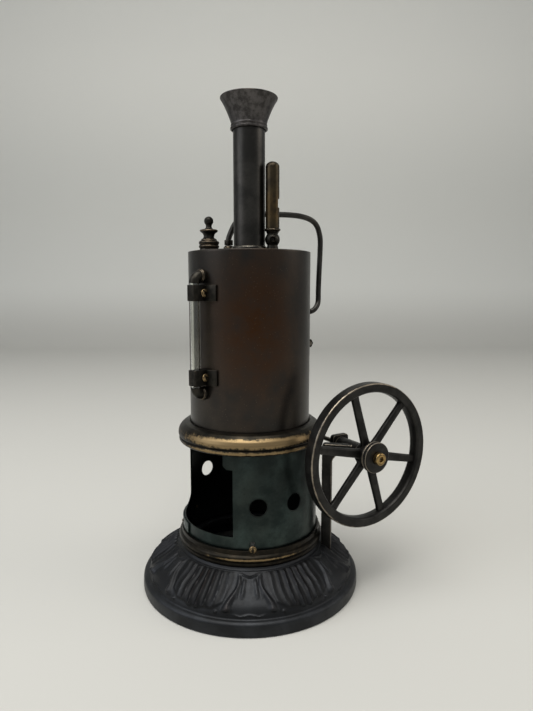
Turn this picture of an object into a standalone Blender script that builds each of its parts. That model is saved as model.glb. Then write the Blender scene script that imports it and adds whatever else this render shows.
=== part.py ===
"""Vertical model steam engine of about 1900: a boiler on a round cast base, with an
oscillating cylinder behind it and a spoked flywheel on a shaft beside it.

Frame: metres, +Z up. The origin is on the surface that the base stands on, under the middle
of the engine's footprint. The boiler's axis is vertical at x = AXIS_X, y = 0. The shaft runs
along Y on the +X side, with the flywheel at its -Y end and the crank at its +Y end.
An azimuth is an angle round the boiler's axis in degrees: 0 faces -Y and 90 faces +X.
A turned outline is a list of (radius, height), down its outer side and up its inner side.
"""

import math

import bmesh
import bpy
from mathutils import Matrix, Vector

# ---- general ----
OBJECT_NAME = "model_steam_engine"
GAP = 0.0003                # between pieces that touch
RUNNING = 0.00015           # radial clearance of a bearing
ROUND_FINE = 96             # a cutter whose face a large turned piece meets
ROUND_LARGE = 48            # facets round a turned piece, by its size
ROUND_MEDIUM = 24
ROUND_FITTING = 16
ROUND_SMALL = 12
CUT_MARGIN = 0.002          # how far a cutter runs past the face that it cuts

# ---- driving radii ----
BASE_RADIUS = 0.069
FIREBOX_RADIUS = 0.0425
BOILER_RADIUS = 0.0375
FLYWHEEL_RADIUS = 0.0441

# ---- base and its collar ----
BASE_RIM_HEIGHT = 0.0045
BASE_SHOULDER_RADIUS = BASE_RADIUS - 0.005
BASE_SHOULDER_HEIGHT = 0.008
BASE_TOP_RADIUS = FIREBOX_RADIUS + 0.0045   # ridge round the neck
BASE_TOP_HEIGHT = 0.026
BASE_NECK_HEIGHT = 0.0277
BASE_WALL = 0.0035
BASE_LEDGE_HEIGHT = 0.0243  # the firebox stands on this ledge
BASE_LEDGE_WIDTH = 0.0033
BASE_FOOT_WIDTH = 0.0035    # width of the flat ring underneath
COLLAR_HEIGHT = 0.0093
COLLAR_BAND_RADIUS = FIREBOX_RADIUS + 0.0018
COLLAR_BEAD_RADIUS = FIREBOX_RADIUS + 0.0035
COLLAR_LOW_RADIUS = FIREBOX_RADIUS + 0.0030

# ---- firebox ----
FIREBOX_WALL = 0.0007
DOOR_AZIMUTH = -91.0
DOOR_WIDTH = 0.0629
DOOR_SILL_HEIGHT = 0.0444
DOOR_CORNER_RADIUS = 0.0075
DOOR_TAB_WIDTH = 0.0043     # tab left in the upper front corner
DOOR_TAB_HEIGHT = 0.0845
VENT_COUNT = 8
VENT_RADIUS = 0.00515
VENT_HEIGHT = 0.0625
VENT_FIRST_AZIMUTH = -23.3
VENT_PITCH = 31.4
SEAM_START_AZIMUTH = -91.4
SEAM_SPAN = 48.0
SEAM_HEIGHT = 0.0064
SEAM_THICKNESS = 0.0007
SEAM_RIVET_AZIMUTH = -109.4
SEAM_RIVET_RADIUS = 0.0011
COLLAR_SCREW_AZIMUTHS = {"front": -27.8, "right": 92.2, "rear": 212.2}
COLLAR_SCREW_HEAD_RADIUS = 0.00215
COLLAR_SCREW_HEIGHT = 0.0384
COLLAR_SLOT_LENGTH = 0.0048

# ---- ring between firebox and boiler ----
RING_BOTTOM = 0.0932
RING_HEIGHT = 0.0122
RING_RADIUS = FIREBOX_RADIUS + 0.0029
RING_SHELF_HEIGHT = 0.007   # the boiler's shelf, above the ring's lower edge

# ---- boiler ----
BOILER_WALL = 0.0008
BOILER_TOP = 0.2097
BOILER_SKIRT = 0.0084       # how far the boiler hangs below the ring's top
PLATE_THICKNESS = 0.0009
PLATE_FLANGE = 0.0045
PLATE_CORNER = 0.002
FLUE_RADIUS = 0.0086
FLUE_WALL = 0.0007

# ---- chimney ----
CHIMNEY_RADIUS = 0.00964
CHIMNEY_WALL = 0.00074
CHIMNEY_FLANGE_RADIUS = 0.011
CHIMNEY_FLANGE_HEIGHT = 0.003
FLUE_SOCKET = 0.012         # how far the flue stands inside the chimney
TOTAL_HEIGHT = 0.300
BELL_HEIGHT = 0.0187
BELL_RADIUS = 0.0173
BELL_BEAD_RADIUS = 0.01125
BELL_WALL = 0.0008

# ---- safety valve ----
VALVE_X = -0.0216
VALVE_Y = 0.0122
VALVE_BODY_RADIUS = 0.0062
VALVE_BODY_HEIGHT = 0.0063
VALVE_STUB_RADIUS = 0.003
VALVE_STUB_LENGTH = 0.0062
VALVE_STEM_RADIUS = 0.0013
VALVE_CAP_HEIGHT = 0.0144
VALVE_STEM_LENGTH = 0.021
VALVE_SPRING_TURNS = 4
VALVE_SPRING_RADIUS = 0.0024
SPRING_WIRE_RADIUS = 0.00035

# ---- whistle ----
WHISTLE_X = 0.0097
WHISTLE_Y = -0.0112
WHISTLE_AZIMUTH = 60.6      # the way its mouth faces
WHISTLE_RING_RADIUS = 0.0049
WHISTLE_BALL_RADIUS = 0.0045
WHISTLE_BALL_HEIGHT = 0.0071
WHISTLE_RING_HEIGHT = 0.0135
WHISTLE_TUBE_RADIUS = 0.00415
WHISTLE_TUBE_WALL = 0.0005
WHISTLE_TUBE_LENGTH = 0.039
WHISTLE_MOUTH_HEIGHT = 0.012
WHISTLE_MOUTH_SIZE = 0.0055
WHISTLE_STUB_RADIUS = 0.002
WHISTLE_PLUG_RADIUS = 0.0015
WHISTLE_LEVER_LENGTH = 0.0115
WHISTLE_LEVER_THICKNESS = 0.001

# ---- steam pipe ----
UNION_X = -0.0042
UNION_Y = 0.0196
UNION_RADIUS = 0.0034
UNION_HEIGHT = 0.0045
PIPE_RADIUS = 0.00180
PIPE_NUT_RADIUS = 0.0031
PIPE_NUT_LENGTH = 0.0032
PIPE_POINT_SPACING = 0.0036

# ---- water gauge ----
GAUGE_AZIMUTH = -74.7
GAUGE_OFFSET = BOILER_RADIUS + 0.0062  # glass axis from the boiler's axis
GAUGE_GLASS_RADIUS = 0.00285
GAUGE_GLASS_WALL = 0.0008
GAUGE_ELBOW = 0.0042
GAUGE_LEVELS = {"top": 0.185, "bottom": 0.1364}
GAUGE_CLAMP_HEIGHT = 0.0092
GAUGE_CLAMP_WIDTH = 0.0064
GAUGE_GLAND_DROP = 0.0097   # from a clamp's middle to the elbow's axis
GAUGE_GLAND_RADIUS = 0.004
GAUGE_SCREW_OFFSET = BOILER_RADIUS + 0.0022
GAUGE_SCREW_RADIUS = 0.00075
GAUGE_SCREW_HEAD_RADIUS = 0.002
GAUGE_EAR_SPAN = 15.0
GAUGE_EAR_THICKNESS = 0.0011

# ---- shaft and flywheel ----
SHAFT_X = FIREBOX_RADIUS + 0.0075
SHAFT_Z = 0.0879
SHAFT_RADIUS = 0.0015
FLYWHEEL_RIM = 0.0058       # radial depth of the rim
FLYWHEEL_WIDTH = 0.0075
FLYWHEEL_FRONT = FIREBOX_RADIUS + 0.0169  # front face, towards -Y from the boiler's axis
FLYWHEEL_HUB_RADIUS = 0.0075
SPOKE_COUNT = 6
SPOKE_ANGLE = 47.0
SPOKE_WIDTH_HUB = 0.0056
SPOKE_WIDTH_RIM = 0.0046
SPOKE_THICKNESS = 0.0034
PULLEY_RADIUS = 0.0093
PULLEY_WIDTH = 0.0042
BOSS_RADIUS = 0.00385
BOSS_LENGTH = 0.0032

# ---- shaft bearings ----
BUSH_RADIUS = 0.0029
SLEEVE_RADIUS = 0.0049
SLEEVE_FRONT = FIREBOX_RADIUS + 0.0075
SLEEVE_LENGTH = 0.020
COLUMN_AZIMUTH = 47.5
COLUMN_WIDTH = 0.0063
BRACKET_THICKNESS = 0.005
ARM_HEIGHT = 0.0065
ARM_TOP = 0.0915
BRACKET_FILLET = 0.006
BRACKET_FLANGE_SIZE = 0.0125
BRACKET_FLANGE_THICKNESS = 0.0034
FOOT_SCREW_RADIUS = 0.0012
REAR_BEARING_Y = 0.015
REAR_BEARING_LENGTH = 0.008
REAR_BEARING_RADIUS = 0.0042
REAR_FOOT_WIDTH = 0.014
REAR_FOOT_THICKNESS = 0.0022
REAR_FOOT_BOTTOM = 0.0755
REAR_FOOT_TOP = 0.0925
REAR_ARM_HEIGHT = 0.0056
REAR_SCREW_RADIUS = 0.0009

# ---- crank, cylinder and steam block ----
CRANK_THROW = 0.008
CRANK_DISC_RADIUS = 0.011
CRANK_DISC_THICKNESS = 0.003
CRANK_DISC_Y = 0.0255       # near face of the disc
CRANK_PIN_RADIUS = 0.0014
CRANK_PIN_REACH = 0.0018    # the pin beyond the disc
OPEN_PIVOT_GAP = 0.0004     # between the pin's end and the rod's big end
BIG_END_RADIUS = 0.0036
BIG_END_THICKNESS = 0.0042
ROD_RADIUS = 0.0012
PIVOT_Z = 0.150
CYLINDER_RADIUS = 0.007
CYLINDER_BORE = 0.005
CYLINDER_BOTTOM = 0.131
CYLINDER_LENGTH = 0.034
CYLINDER_HEAD_CLEARANCE = 0.0035
PORT_FACE_WIDTH = 0.012
PORT_FACE_HEIGHT = 0.018
COVER_THICKNESS = 0.0022
GLAND_LENGTH = 0.0035
PISTON_LENGTH = 0.005
BLOCK_WIDTH = 0.013
BLOCK_DEPTH = 0.010
BLOCK_NEAR_Y = 0.014
BLOCK_BOTTOM = 0.140
BLOCK_TOP = 0.1765
PIVOT_RADIUS = 0.0014
PIVOT_SPRING_LENGTH = 0.0052
PIVOT_SPRING_TURNS = 3
PIVOT_NUT_RADIUS = 0.0031
PIVOT_NUT_LENGTH = 0.0026
PIPE_ENTRY_Z = 0.1715

# ---- sizes that follow from those above ----
AXIS_X = -(SHAFT_X + FLYWHEEL_RADIUS - BASE_RADIUS) / 2.0
NECK_RADIUS = FIREBOX_RADIUS + GAP
COLLAR_BOTTOM = BASE_NECK_HEIGHT + GAP
COLLAR_TOP = COLLAR_BOTTOM + COLLAR_HEIGHT
RING_TOP = RING_BOTTOM + RING_HEIGHT
RING_SHELF = RING_BOTTOM + RING_SHELF_HEIGHT
FIREBOX_BOTTOM = BASE_LEDGE_HEIGHT + GAP
FIREBOX_TOP = RING_SHELF - GAP
BOILER_BOTTOM = RING_TOP - BOILER_SKIRT
BOILER_BORE = BOILER_RADIUS - BOILER_WALL
CHIMNEY_BOTTOM = BOILER_TOP + GAP
BELL_BOTTOM = TOTAL_HEIGHT - BELL_HEIGHT
FITTING_BOTTOM = BOILER_TOP + GAP
BEARING_BORE = SHAFT_RADIUS + RUNNING
CYLINDER_FACE_Y = BLOCK_NEAR_Y + BLOCK_DEPTH + GAP
ROD_Y = CRANK_DISC_Y + CRANK_DISC_THICKNESS + CRANK_PIN_REACH + OPEN_PIVOT_GAP + BIG_END_THICKNESS / 2
CRANK_PIN_Z = SHAFT_Z - CRANK_THROW


def deg(angle):
    """An angle in degrees, as radians."""
    return math.radians(angle)


def arc(centre, radius, start, end, count):
    """Points (a, b) along an arc round centre, from start to end in degrees."""
    points = []
    for i in range(count + 1):
        angle = deg(start + (end - start) * i / count)
        points.append((centre[0] + radius * math.cos(angle), centre[1] + radius * math.sin(angle)))
    return points


# ---- scene, collections, materials ----

def clear_scene():
    """Remove the objects that the scene starts with."""
    for obj in list(bpy.data.objects):
        bpy.data.objects.remove(obj, do_unlink=True)


def make_collection(name):
    """A new collection in the scene."""
    collection = bpy.data.collections.new(name)
    bpy.context.scene.collection.children.link(collection)
    return collection


def make_material(name, colour, roughness, metallic):
    """A Principled material with one colour."""
    material = bpy.data.materials.new(name)
    material.use_nodes = True
    shader = material.node_tree.nodes["Principled BSDF"]
    shader.inputs["Base Color"].default_value = (*colour, 1.0)
    shader.inputs["Roughness"].default_value = roughness
    shader.inputs["Metallic"].default_value = metallic
    material.diffuse_color = (*colour, 1.0)
    return material


clear_scene()
PARTS = make_collection(OBJECT_NAME)
CUTTERS = make_collection(OBJECT_NAME + "_cutters")

CAST_IRON = make_material("cast_iron", (0.022, 0.023, 0.026), 0.5, 0.85)
BLUED_STEEL = make_material("blued_steel", (0.021, 0.029, 0.031), 0.38, 0.9)
COPPER_BROWN = make_material("browned_copper", (0.050, 0.026, 0.016), 0.35, 0.95)
OLD_BRASS = make_material("old_brass", (0.32, 0.20, 0.085), 0.42, 1.0)
DARK_BRASS = make_material("dark_brass", (0.10, 0.075, 0.050), 0.45, 1.0)
STEEL = make_material("steel", (0.16, 0.15, 0.14), 0.35, 1.0)
GLASS = make_material("glass", (0.80, 0.84, 0.84), 0.05, 0.0)


# ---- building helpers ----

def make_empty(name, parent, location, turn=(0.0, 0.0, 0.0)):
    """A local frame: an empty at location, turned by degrees about X, Y and Z."""
    empty = bpy.data.objects.new(name, None)
    empty.empty_display_size = 0.01
    empty.location = location
    empty.rotation_euler = [deg(a) for a in turn]
    empty.parent = parent
    PARTS.objects.link(empty)
    return empty


def add_object(name, mesh, frame, material=None):
    """Put a mesh in a frame: a part when it has a material, or else a cutter."""
    obj = bpy.data.objects.new(name, mesh)
    obj.parent = frame
    if material is None:
        CUTTERS.objects.link(obj)
        obj.hide_render = True
        obj.display_type = "WIRE"
        return obj
    mesh.materials.append(material)
    PARTS.objects.link(obj)
    return obj


def shade(obj):
    """Shade a round piece smooth, with its corners sharp."""
    obj.data.shade_smooth()
    obj.data.set_sharp_from_angle(angle=deg(35))


def turned(name, outline, frame, material=None, steps=ROUND_MEDIUM):
    """A turned piece round the frame's Z. A closed outline misses the axis, and one whose two
    ends have radius 0 is a solid."""
    on_axis = outline[0][0] == 0.0 and outline[-1][0] == 0.0
    count = len(outline)
    edges = [(i, i + 1) for i in range(count - 1)]
    if not on_axis:
        edges.append((count - 1, 0))
    mesh = bpy.data.meshes.new(name)
    mesh.from_pydata([(r, 0.0, z) for r, z in outline], edges, [])
    obj = add_object(name, mesh, frame, material)
    screw = obj.modifiers.new("turn", "SCREW")
    screw.axis = "Z"
    screw.angle = deg(360)
    screw.steps = steps
    screw.render_steps = steps
    screw.use_merge_vertices = True
    screw.merge_threshold = 0.000001
    screw.use_smooth_shade = True
    return obj


def tube_outline(outer, inner, bottom, top):
    """The outline of a plain ring or tube."""
    return [(outer, top), (outer, bottom), (inner, bottom), (inner, top)]


def rod_outline(radius, bottom, top):
    """The outline of a plain solid rod."""
    return [(0.0, top), (radius, top), (radius, bottom), (0.0, bottom)]


def box(name, low, high, frame, material=None):
    """A box between two corners of the frame."""
    builder = bmesh.new()
    bmesh.ops.create_cube(builder, size=1.0)
    middle = (Vector(low) + Vector(high)) / 2
    size = Vector(high) - Vector(low)
    for vertex in builder.verts:
        vertex.co = Vector([middle[i] + vertex.co[i] * size[i] for i in range(3)])
    mesh = bpy.data.meshes.new(name)
    builder.to_mesh(mesh)
    builder.free()
    return add_object(name, mesh, frame, material)


def plate(name, outline, thickness, frame, material=None):
    """A flat outline in the frame's X and Z, made a plate with half its thickness each way in Y."""
    mesh = bpy.data.meshes.new(name)
    mesh.from_pydata([(a, 0.0, b) for a, b in outline], [], [list(range(len(outline)))])
    obj = add_object(name, mesh, frame, material)
    solid = obj.modifiers.new("thickness", "SOLIDIFY")
    solid.thickness = thickness
    solid.offset = 0.0
    return obj


def curved_strip(name, radius, bottom, top, span, thickness, frame, material=None):
    """A strip of sheet that bends round the frame's Z from its X axis, span degrees long."""
    mesh = bpy.data.meshes.new(name)
    mesh.from_pydata([(radius, 0.0, top), (radius, 0.0, bottom)], [(0, 1)], [])
    obj = add_object(name, mesh, frame, material)
    bend = obj.modifiers.new("bend", "SCREW")
    bend.axis = "Z"
    bend.angle = deg(span)
    bend.steps = max(2, round(span / 6))
    bend.render_steps = bend.steps
    solid = obj.modifiers.new("thickness", "SOLIDIFY")
    solid.thickness = thickness
    solid.offset = 1.0
    return obj


def combine(obj, other, operation="DIFFERENCE"):
    """Cut another object from this one, or join it to this one."""
    boolean = obj.modifiers.new(operation.lower() + "_" + other.name, "BOOLEAN")
    boolean.operation = operation
    boolean.solver = "EXACT"
    boolean.object = other
    return obj


def drill(obj, radius, bottom, top, frame, steps=ROUND_SMALL):
    """Drill a hole along the frame's Z."""
    name = obj.name + "_drill_" + str(len(obj.modifiers))
    return combine(obj, turned(name, rod_outline(radius, bottom, top), frame, None, steps))


def smooth_path(points, spacing):
    """Points read every spacing along a centripetal Catmull-Rom curve through the given ones."""
    knots = [Vector(p) for p in points]
    knots = [knots[0] * 2 - knots[1]] + knots + [knots[-1] * 2 - knots[-2]]
    path = [knots[1]]
    for i in range(1, len(knots) - 2):
        p0, p1, p2, p3 = knots[i - 1:i + 3]
        t0 = 0.0
        t1 = t0 + math.sqrt((p1 - p0).length)
        t2 = t1 + math.sqrt((p2 - p1).length)
        t3 = t2 + math.sqrt((p3 - p2).length)
        count = max(1, round((p2 - p1).length / spacing))
        for j in range(1, count + 1):
            t = t1 + (t2 - t1) * j / count
            a1 = p0.lerp(p1, (t - t0) / (t1 - t0))
            a2 = p1.lerp(p2, (t - t1) / (t2 - t1))
            a3 = p2.lerp(p3, (t - t2) / (t3 - t2))
            b1 = a1.lerp(a2, (t - t0) / (t2 - t0))
            b2 = a2.lerp(a3, (t - t1) / (t3 - t1))
            path.append(b1.lerp(b2, (t - t1) / (t2 - t1)))
    return path


def wire(name, path, radius, frame, material, resolution=2, caps=True):
    """A round wire or pipe along a path, made a mesh with its caps welded."""
    curve = bpy.data.curves.new(name + "_curve", "CURVE")
    curve.dimensions = "3D"
    curve.bevel_depth = radius
    curve.bevel_resolution = resolution
    curve.use_fill_caps = caps
    spline = curve.splines.new("POLY")
    spline.points.add(len(path) - 1)
    for point, place in zip(spline.points, path):
        point.co = (*place, 1.0)
    guide = bpy.data.objects.new(name + "_curve", curve)
    guide.parent = frame
    CUTTERS.objects.link(guide)
    bpy.context.view_layer.update()
    mesh = bpy.data.meshes.new_from_object(guide.evaluated_get(bpy.context.evaluated_depsgraph_get()))
    bpy.data.objects.remove(guide, do_unlink=True)
    builder = bmesh.new()
    builder.from_mesh(mesh)
    bmesh.ops.remove_doubles(builder, verts=builder.verts, dist=0.000001)
    bmesh.ops.recalc_face_normals(builder, faces=builder.faces)
    builder.to_mesh(mesh)
    builder.free()
    mesh.materials.clear()
    obj = add_object(name, mesh, frame, material)
    shade(obj)
    return obj


def coil_path(radius, bottom, top, turns, per_turn=8):
    """The path of a coil spring round the frame's Z."""
    count = turns * per_turn
    path = []
    for i in range(count + 1):
        angle = 2 * math.pi * i / per_turn
        path.append(Vector((radius * math.cos(angle), radius * math.sin(angle),
                            bottom + (top - bottom) * i / count)))
    return path


def slotted_screw(name, head_radius, head_height, shank_radius, shank_length, frame, material):
    """A round-head screw along the frame's Z: its head stands on z = 0 and its shank runs down."""
    dome = [(0.0, head_height), (head_radius * 0.62, head_height * 0.82), (head_radius, head_height * 0.3)]
    outline = dome + [(head_radius, 0.0), (shank_radius, 0.0), (shank_radius, -shank_length),
                      (0.0, -shank_length)]
    screw = turned(name, outline, frame, material, ROUND_SMALL)
    slot_width = head_radius * 0.28
    slot = box(name + "_slot", (-slot_width / 2, -head_radius * 1.2, head_height * 0.45),
               (slot_width / 2, head_radius * 1.2, head_height * 1.5), frame)
    return combine(screw, slot)


# ---- local frames ----
ENGINE = make_empty("engine", None, (AXIS_X, 0.0, 0.0))


def radial_frame(name, azimuth, parent=ENGINE):
    """A frame on the boiler's axis whose X points outwards at the azimuth, with Z up."""
    return make_empty(name, parent, (0.0, 0.0, 0.0), (0.0, 0.0, azimuth - 90.0))


def outward_frame(name, azimuth, radius, height):
    """A frame whose Z points outwards at the azimuth, for a screw or a radial hole."""
    angle = deg(azimuth)
    place = (radius * math.sin(angle), -radius * math.cos(angle), height)
    return make_empty(name, ENGINE, place, (90.0, 0.0, azimuth))


# Z of this frame points to -Y, so a piece's place on the shaft is a positive distance forwards.
CRANK_AXIS = make_empty("crank_axis", ENGINE, (SHAFT_X, 0.0, SHAFT_Z), (90.0, 0.0, 0.0))
PIVOT_AXIS = make_empty("pivot_axis", ENGINE, (SHAFT_X, 0.0, PIVOT_Z), (90.0, 0.0, 0.0))
CYLINDER_AXIS = make_empty("cylinder_axis", ENGINE, (SHAFT_X, ROD_Y, 0.0))


# ---- base ----

def base_top_outline(clearance=0.0):
    """The base's outer side from its neck to the rim, raised by a clearance."""
    rise = BASE_TOP_HEIGHT - BASE_SHOULDER_HEIGHT
    run = BASE_SHOULDER_RADIUS - BASE_TOP_RADIUS
    flare = [(0.0, 0.0), (0.15, 0.13), (0.38, 0.32), (0.66, 0.56), (0.9, 0.80), (1.0, 1.0)]
    points = [(BASE_TOP_RADIUS + run * a, BASE_TOP_HEIGHT - rise * b + clearance) for a, b in flare]
    edge = BASE_RADIUS - 0.001
    neck = [(BASE_TOP_RADIUS - 0.002, BASE_NECK_HEIGHT + clearance)]
    rim = [(edge, BASE_SHOULDER_HEIGHT + clearance), (BASE_RADIUS, BASE_RIM_HEIGHT + clearance)]
    return neck + points + rim


def make_base():
    """The cast base, hollow underneath, and the collar that stands on its neck."""
    ledge = FIREBOX_RADIUS - BASE_LEDGE_WIDTH
    foot_inner = BASE_RADIUS - BASE_FOOT_WIDTH
    shoulder_inner = BASE_SHOULDER_RADIUS - BASE_WALL
    top_inner = BASE_TOP_HEIGHT - BASE_WALL
    outline = [(NECK_RADIUS, BASE_NECK_HEIGHT)]
    outline += base_top_outline() + [(BASE_RADIUS, 0.0), (foot_inner, 0.0)]
    outline += [(shoulder_inner, BASE_SHOULDER_HEIGHT), (ledge + 0.004, top_inner), (ledge, top_inner)]
    outline += [(ledge, BASE_LEDGE_HEIGHT), (NECK_RADIUS, BASE_LEDGE_HEIGHT)]
    base = turned("base_shell", outline, ENGINE, CAST_IRON, ROUND_LARGE)

    bead_middle = COLLAR_BOTTOM + COLLAR_HEIGHT * 0.43
    bead_half = COLLAR_HEIGHT * 0.17
    outline = [(NECK_RADIUS, COLLAR_TOP), (COLLAR_BAND_RADIUS, COLLAR_TOP),
               (COLLAR_BAND_RADIUS, bead_middle + bead_half * 1.6),
               (COLLAR_BEAD_RADIUS - 0.0006, bead_middle + bead_half),
               (COLLAR_BEAD_RADIUS, bead_middle),
               (COLLAR_LOW_RADIUS, bead_middle - bead_half),
               (COLLAR_LOW_RADIUS, COLLAR_BOTTOM + 0.0008),
               (COLLAR_LOW_RADIUS - 0.001, COLLAR_BOTTOM), (NECK_RADIUS, COLLAR_BOTTOM)]
    turned("base_collar", outline, ENGINE, OLD_BRASS, ROUND_LARGE)
    return base


# ---- firebox ----

def door_outline():
    """The door's outline across its width and up past the firebox's top, with a rounded lower
    corner on its far side and a rounded tab left in the upper front corner."""
    half = DOOR_WIDTH / 2
    r = DOOR_CORNER_RADIUS
    over = FIREBOX_TOP + CUT_MARGIN
    tab_edge = -half + DOOR_TAB_WIDTH
    tab_round = min(DOOR_TAB_WIDTH * 0.7, (over - DOOR_TAB_HEIGHT) * 0.5)
    points = [(-half, DOOR_SILL_HEIGHT)]
    points += arc((half - r, DOOR_SILL_HEIGHT + r), r, -90.0, 0.0, 4)
    points += [(half, over), (tab_edge, over)]
    points += arc((tab_edge - tab_round, DOOR_TAB_HEIGHT + tab_round), tab_round, 0.0, -90.0, 3)
    points.append((-half, DOOR_TAB_HEIGHT))
    return points


def make_firebox():
    """The firebox's sheet, with its door, vents and slots, its seam and its screws."""
    inner = FIREBOX_RADIUS - FIREBOX_WALL
    sheet = turned("firebox_shell", tube_outline(FIREBOX_RADIUS, inner, FIREBOX_BOTTOM, FIREBOX_TOP),
                   ENGINE, BLUED_STEEL, ROUND_LARGE)
    # X of this frame runs across the door, and -Y points outwards through it.
    door_frame = make_empty("door_frame", ENGINE, (0.0, 0.0, 0.0), (0.0, 0.0, DOOR_AZIMUTH + 180.0))
    reach = FIREBOX_RADIUS * 0.5
    door = plate("firebox_door", door_outline(), FIREBOX_RADIUS, door_frame)
    door.location = (0.0, FIREBOX_RADIUS * 0.65 + reach * 0.2, 0.0)
    combine(sheet, door)
    for i in range(VENT_COUNT):
        azimuth = VENT_FIRST_AZIMUTH + VENT_PITCH * i
        vent = outward_frame("vent_frame_" + str(i + 1), azimuth, FIREBOX_RADIUS, VENT_HEIGHT)
        drill(sheet, VENT_RADIUS, -CUT_MARGIN * 1.5, CUT_MARGIN, vent, ROUND_FITTING)

    seam_frame = radial_frame("seam_frame", SEAM_START_AZIMUTH - SEAM_SPAN)
    seam_bottom = COLLAR_TOP + GAP
    curved_strip("firebox_seam_strip", FIREBOX_RADIUS + GAP, seam_bottom, seam_bottom + SEAM_HEIGHT,
                 SEAM_SPAN, SEAM_THICKNESS, seam_frame, BLUED_STEEL)
    rivet_frame = outward_frame("rivet_frame", SEAM_RIVET_AZIMUTH,
                                FIREBOX_RADIUS + GAP * 2 + SEAM_THICKNESS, seam_bottom + SEAM_HEIGHT / 2)
    r = SEAM_RIVET_RADIUS
    turned("firebox_seam_rivet", [(0.0, r * 0.7), (r * 0.7, r * 0.5), (r, 0.0), (0.0, 0.0)],
           rivet_frame, BLUED_STEEL, ROUND_SMALL)

    head_seat = COLLAR_BAND_RADIUS + GAP
    shank = COLLAR_SCREW_HEAD_RADIUS * 0.42
    length = head_seat - FIREBOX_RADIUS + FIREBOX_WALL + 0.002
    for side, azimuth in COLLAR_SCREW_AZIMUTHS.items():
        frame = outward_frame("collar_screw_frame_" + side, azimuth, head_seat, COLLAR_SCREW_HEIGHT)
        slotted_screw("collar_screw_" + side, COLLAR_SCREW_HEAD_RADIUS, 0.0015, shank, length, frame,
                      OLD_BRASS)
        half = shank + GAP
        slot = box("firebox_slot_" + side, (-half, -half, -length - CUT_MARGIN),
                   (half, COLLAR_SLOT_LENGTH - half, 0.0), frame)
        combine(sheet, slot)
    return sheet


def make_ring():
    """The turned ring that joins the firebox to the boiler."""
    low = RING_BOTTOM
    r = RING_RADIUS
    outline = [(BOILER_RADIUS + GAP, RING_TOP), (BOILER_RADIUS + 0.0015, RING_TOP - 0.0002),
               (r - 0.0024, RING_TOP - 0.0022), (r - 0.0003, RING_TOP - 0.0044),
               (r, RING_TOP - 0.0064), (r, low + 0.0040), (r - 0.0009, low + 0.0033),
               (r - 0.0004, low + 0.0023), (r - 0.0006, low + 0.0006), (r - 0.0011, low),
               (NECK_RADIUS, low), (NECK_RADIUS, RING_SHELF), (BOILER_RADIUS + GAP, RING_SHELF)]
    return turned("boiler_ring", outline, ENGINE, OLD_BRASS, ROUND_LARGE)


# ---- boiler ----

def make_boiler():
    """The boiler's shell and two plates, with the flue through them."""
    top = BOILER_TOP
    edge = top - PLATE_CORNER * 1.55
    flue_hole = FLUE_RADIUS + GAP
    plate_bore = BOILER_BORE - GAP
    shell = turned("boiler_shell", tube_outline(BOILER_RADIUS, BOILER_BORE, BOILER_BOTTOM, edge - GAP),
                   ENGINE, COPPER_BROWN, ROUND_LARGE)
    outline = [(flue_hole, top), (BOILER_RADIUS - PLATE_CORNER, top),
               (BOILER_RADIUS - PLATE_CORNER * 0.3, top - PLATE_CORNER * 0.3),
               (BOILER_RADIUS, top - PLATE_CORNER), (BOILER_RADIUS, edge), (plate_bore, edge),
               (plate_bore, edge - PLATE_FLANGE), (plate_bore - PLATE_THICKNESS, edge - PLATE_FLANGE),
               (plate_bore - PLATE_THICKNESS, top - PLATE_CORNER), (flue_hole, top - PLATE_CORNER)]
    cap = turned("boiler_top_plate", outline, ENGINE, COPPER_BROWN, ROUND_LARGE)
    bottom = BOILER_BOTTOM + 0.0015
    turned("boiler_bottom_plate", tube_outline(plate_bore, flue_hole, bottom, bottom + PLATE_THICKNESS),
           ENGINE, COPPER_BROWN)
    turned("flue_tube", tube_outline(FLUE_RADIUS, FLUE_RADIUS - FLUE_WALL, BOILER_BOTTOM,
                                     BOILER_TOP + FLUE_SOCKET), ENGINE, COPPER_BROWN)
    return shell, cap


# ---- chimney ----

def make_chimney():
    """The chimney's flange, tube and bell."""
    flange_bore = CHIMNEY_RADIUS + GAP
    low = CHIMNEY_BOTTOM
    high = low + CHIMNEY_FLANGE_HEIGHT
    r = CHIMNEY_FLANGE_RADIUS
    turned("chimney_flange", [(flange_bore, high), (r - 0.0007, high), (r, high - 0.0009),
                              (r, low + 0.0006), (r - 0.0004, low), (flange_bore, low)],
           ENGINE, DARK_BRASS)
    socket = BELL_BOTTOM + BELL_HEIGHT * 0.42
    turned("chimney_tube", tube_outline(CHIMNEY_RADIUS, CHIMNEY_RADIUS - CHIMNEY_WALL, low, socket),
           ENGINE, DARK_BRASS)
    bottom = BELL_BOTTOM
    bead = BELL_BEAD_RADIUS
    throat = flange_bore + BELL_WALL
    flare = [(1.0, 0.0), (0.635, 0.18), (0.325, 0.36), (0.12, 0.55)]
    rise = BELL_RADIUS - throat
    outer = [(throat + rise * a, TOTAL_HEIGHT - BELL_HEIGHT * b) for a, b in flare]
    outer += [(throat, bottom + 0.0048), (bead - 0.0002, bottom + 0.0034), (throat, bottom + 0.0028),
              (bead, bottom + 0.002), (bead, bottom + 0.0008), (throat, bottom)]
    seat = socket + GAP
    bore = CHIMNEY_RADIUS - CHIMNEY_WALL
    inner = [(flange_bore, bottom), (flange_bore, seat), (bore, seat + 0.0004)]
    inner += [(throat + rise * a - BELL_WALL, TOTAL_HEIGHT - BELL_HEIGHT * b) for a, b in flare[2::-1]]
    turned("chimney_bell", outer + inner, ENGINE, DARK_BRASS)


# ---- safety valve ----

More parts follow.
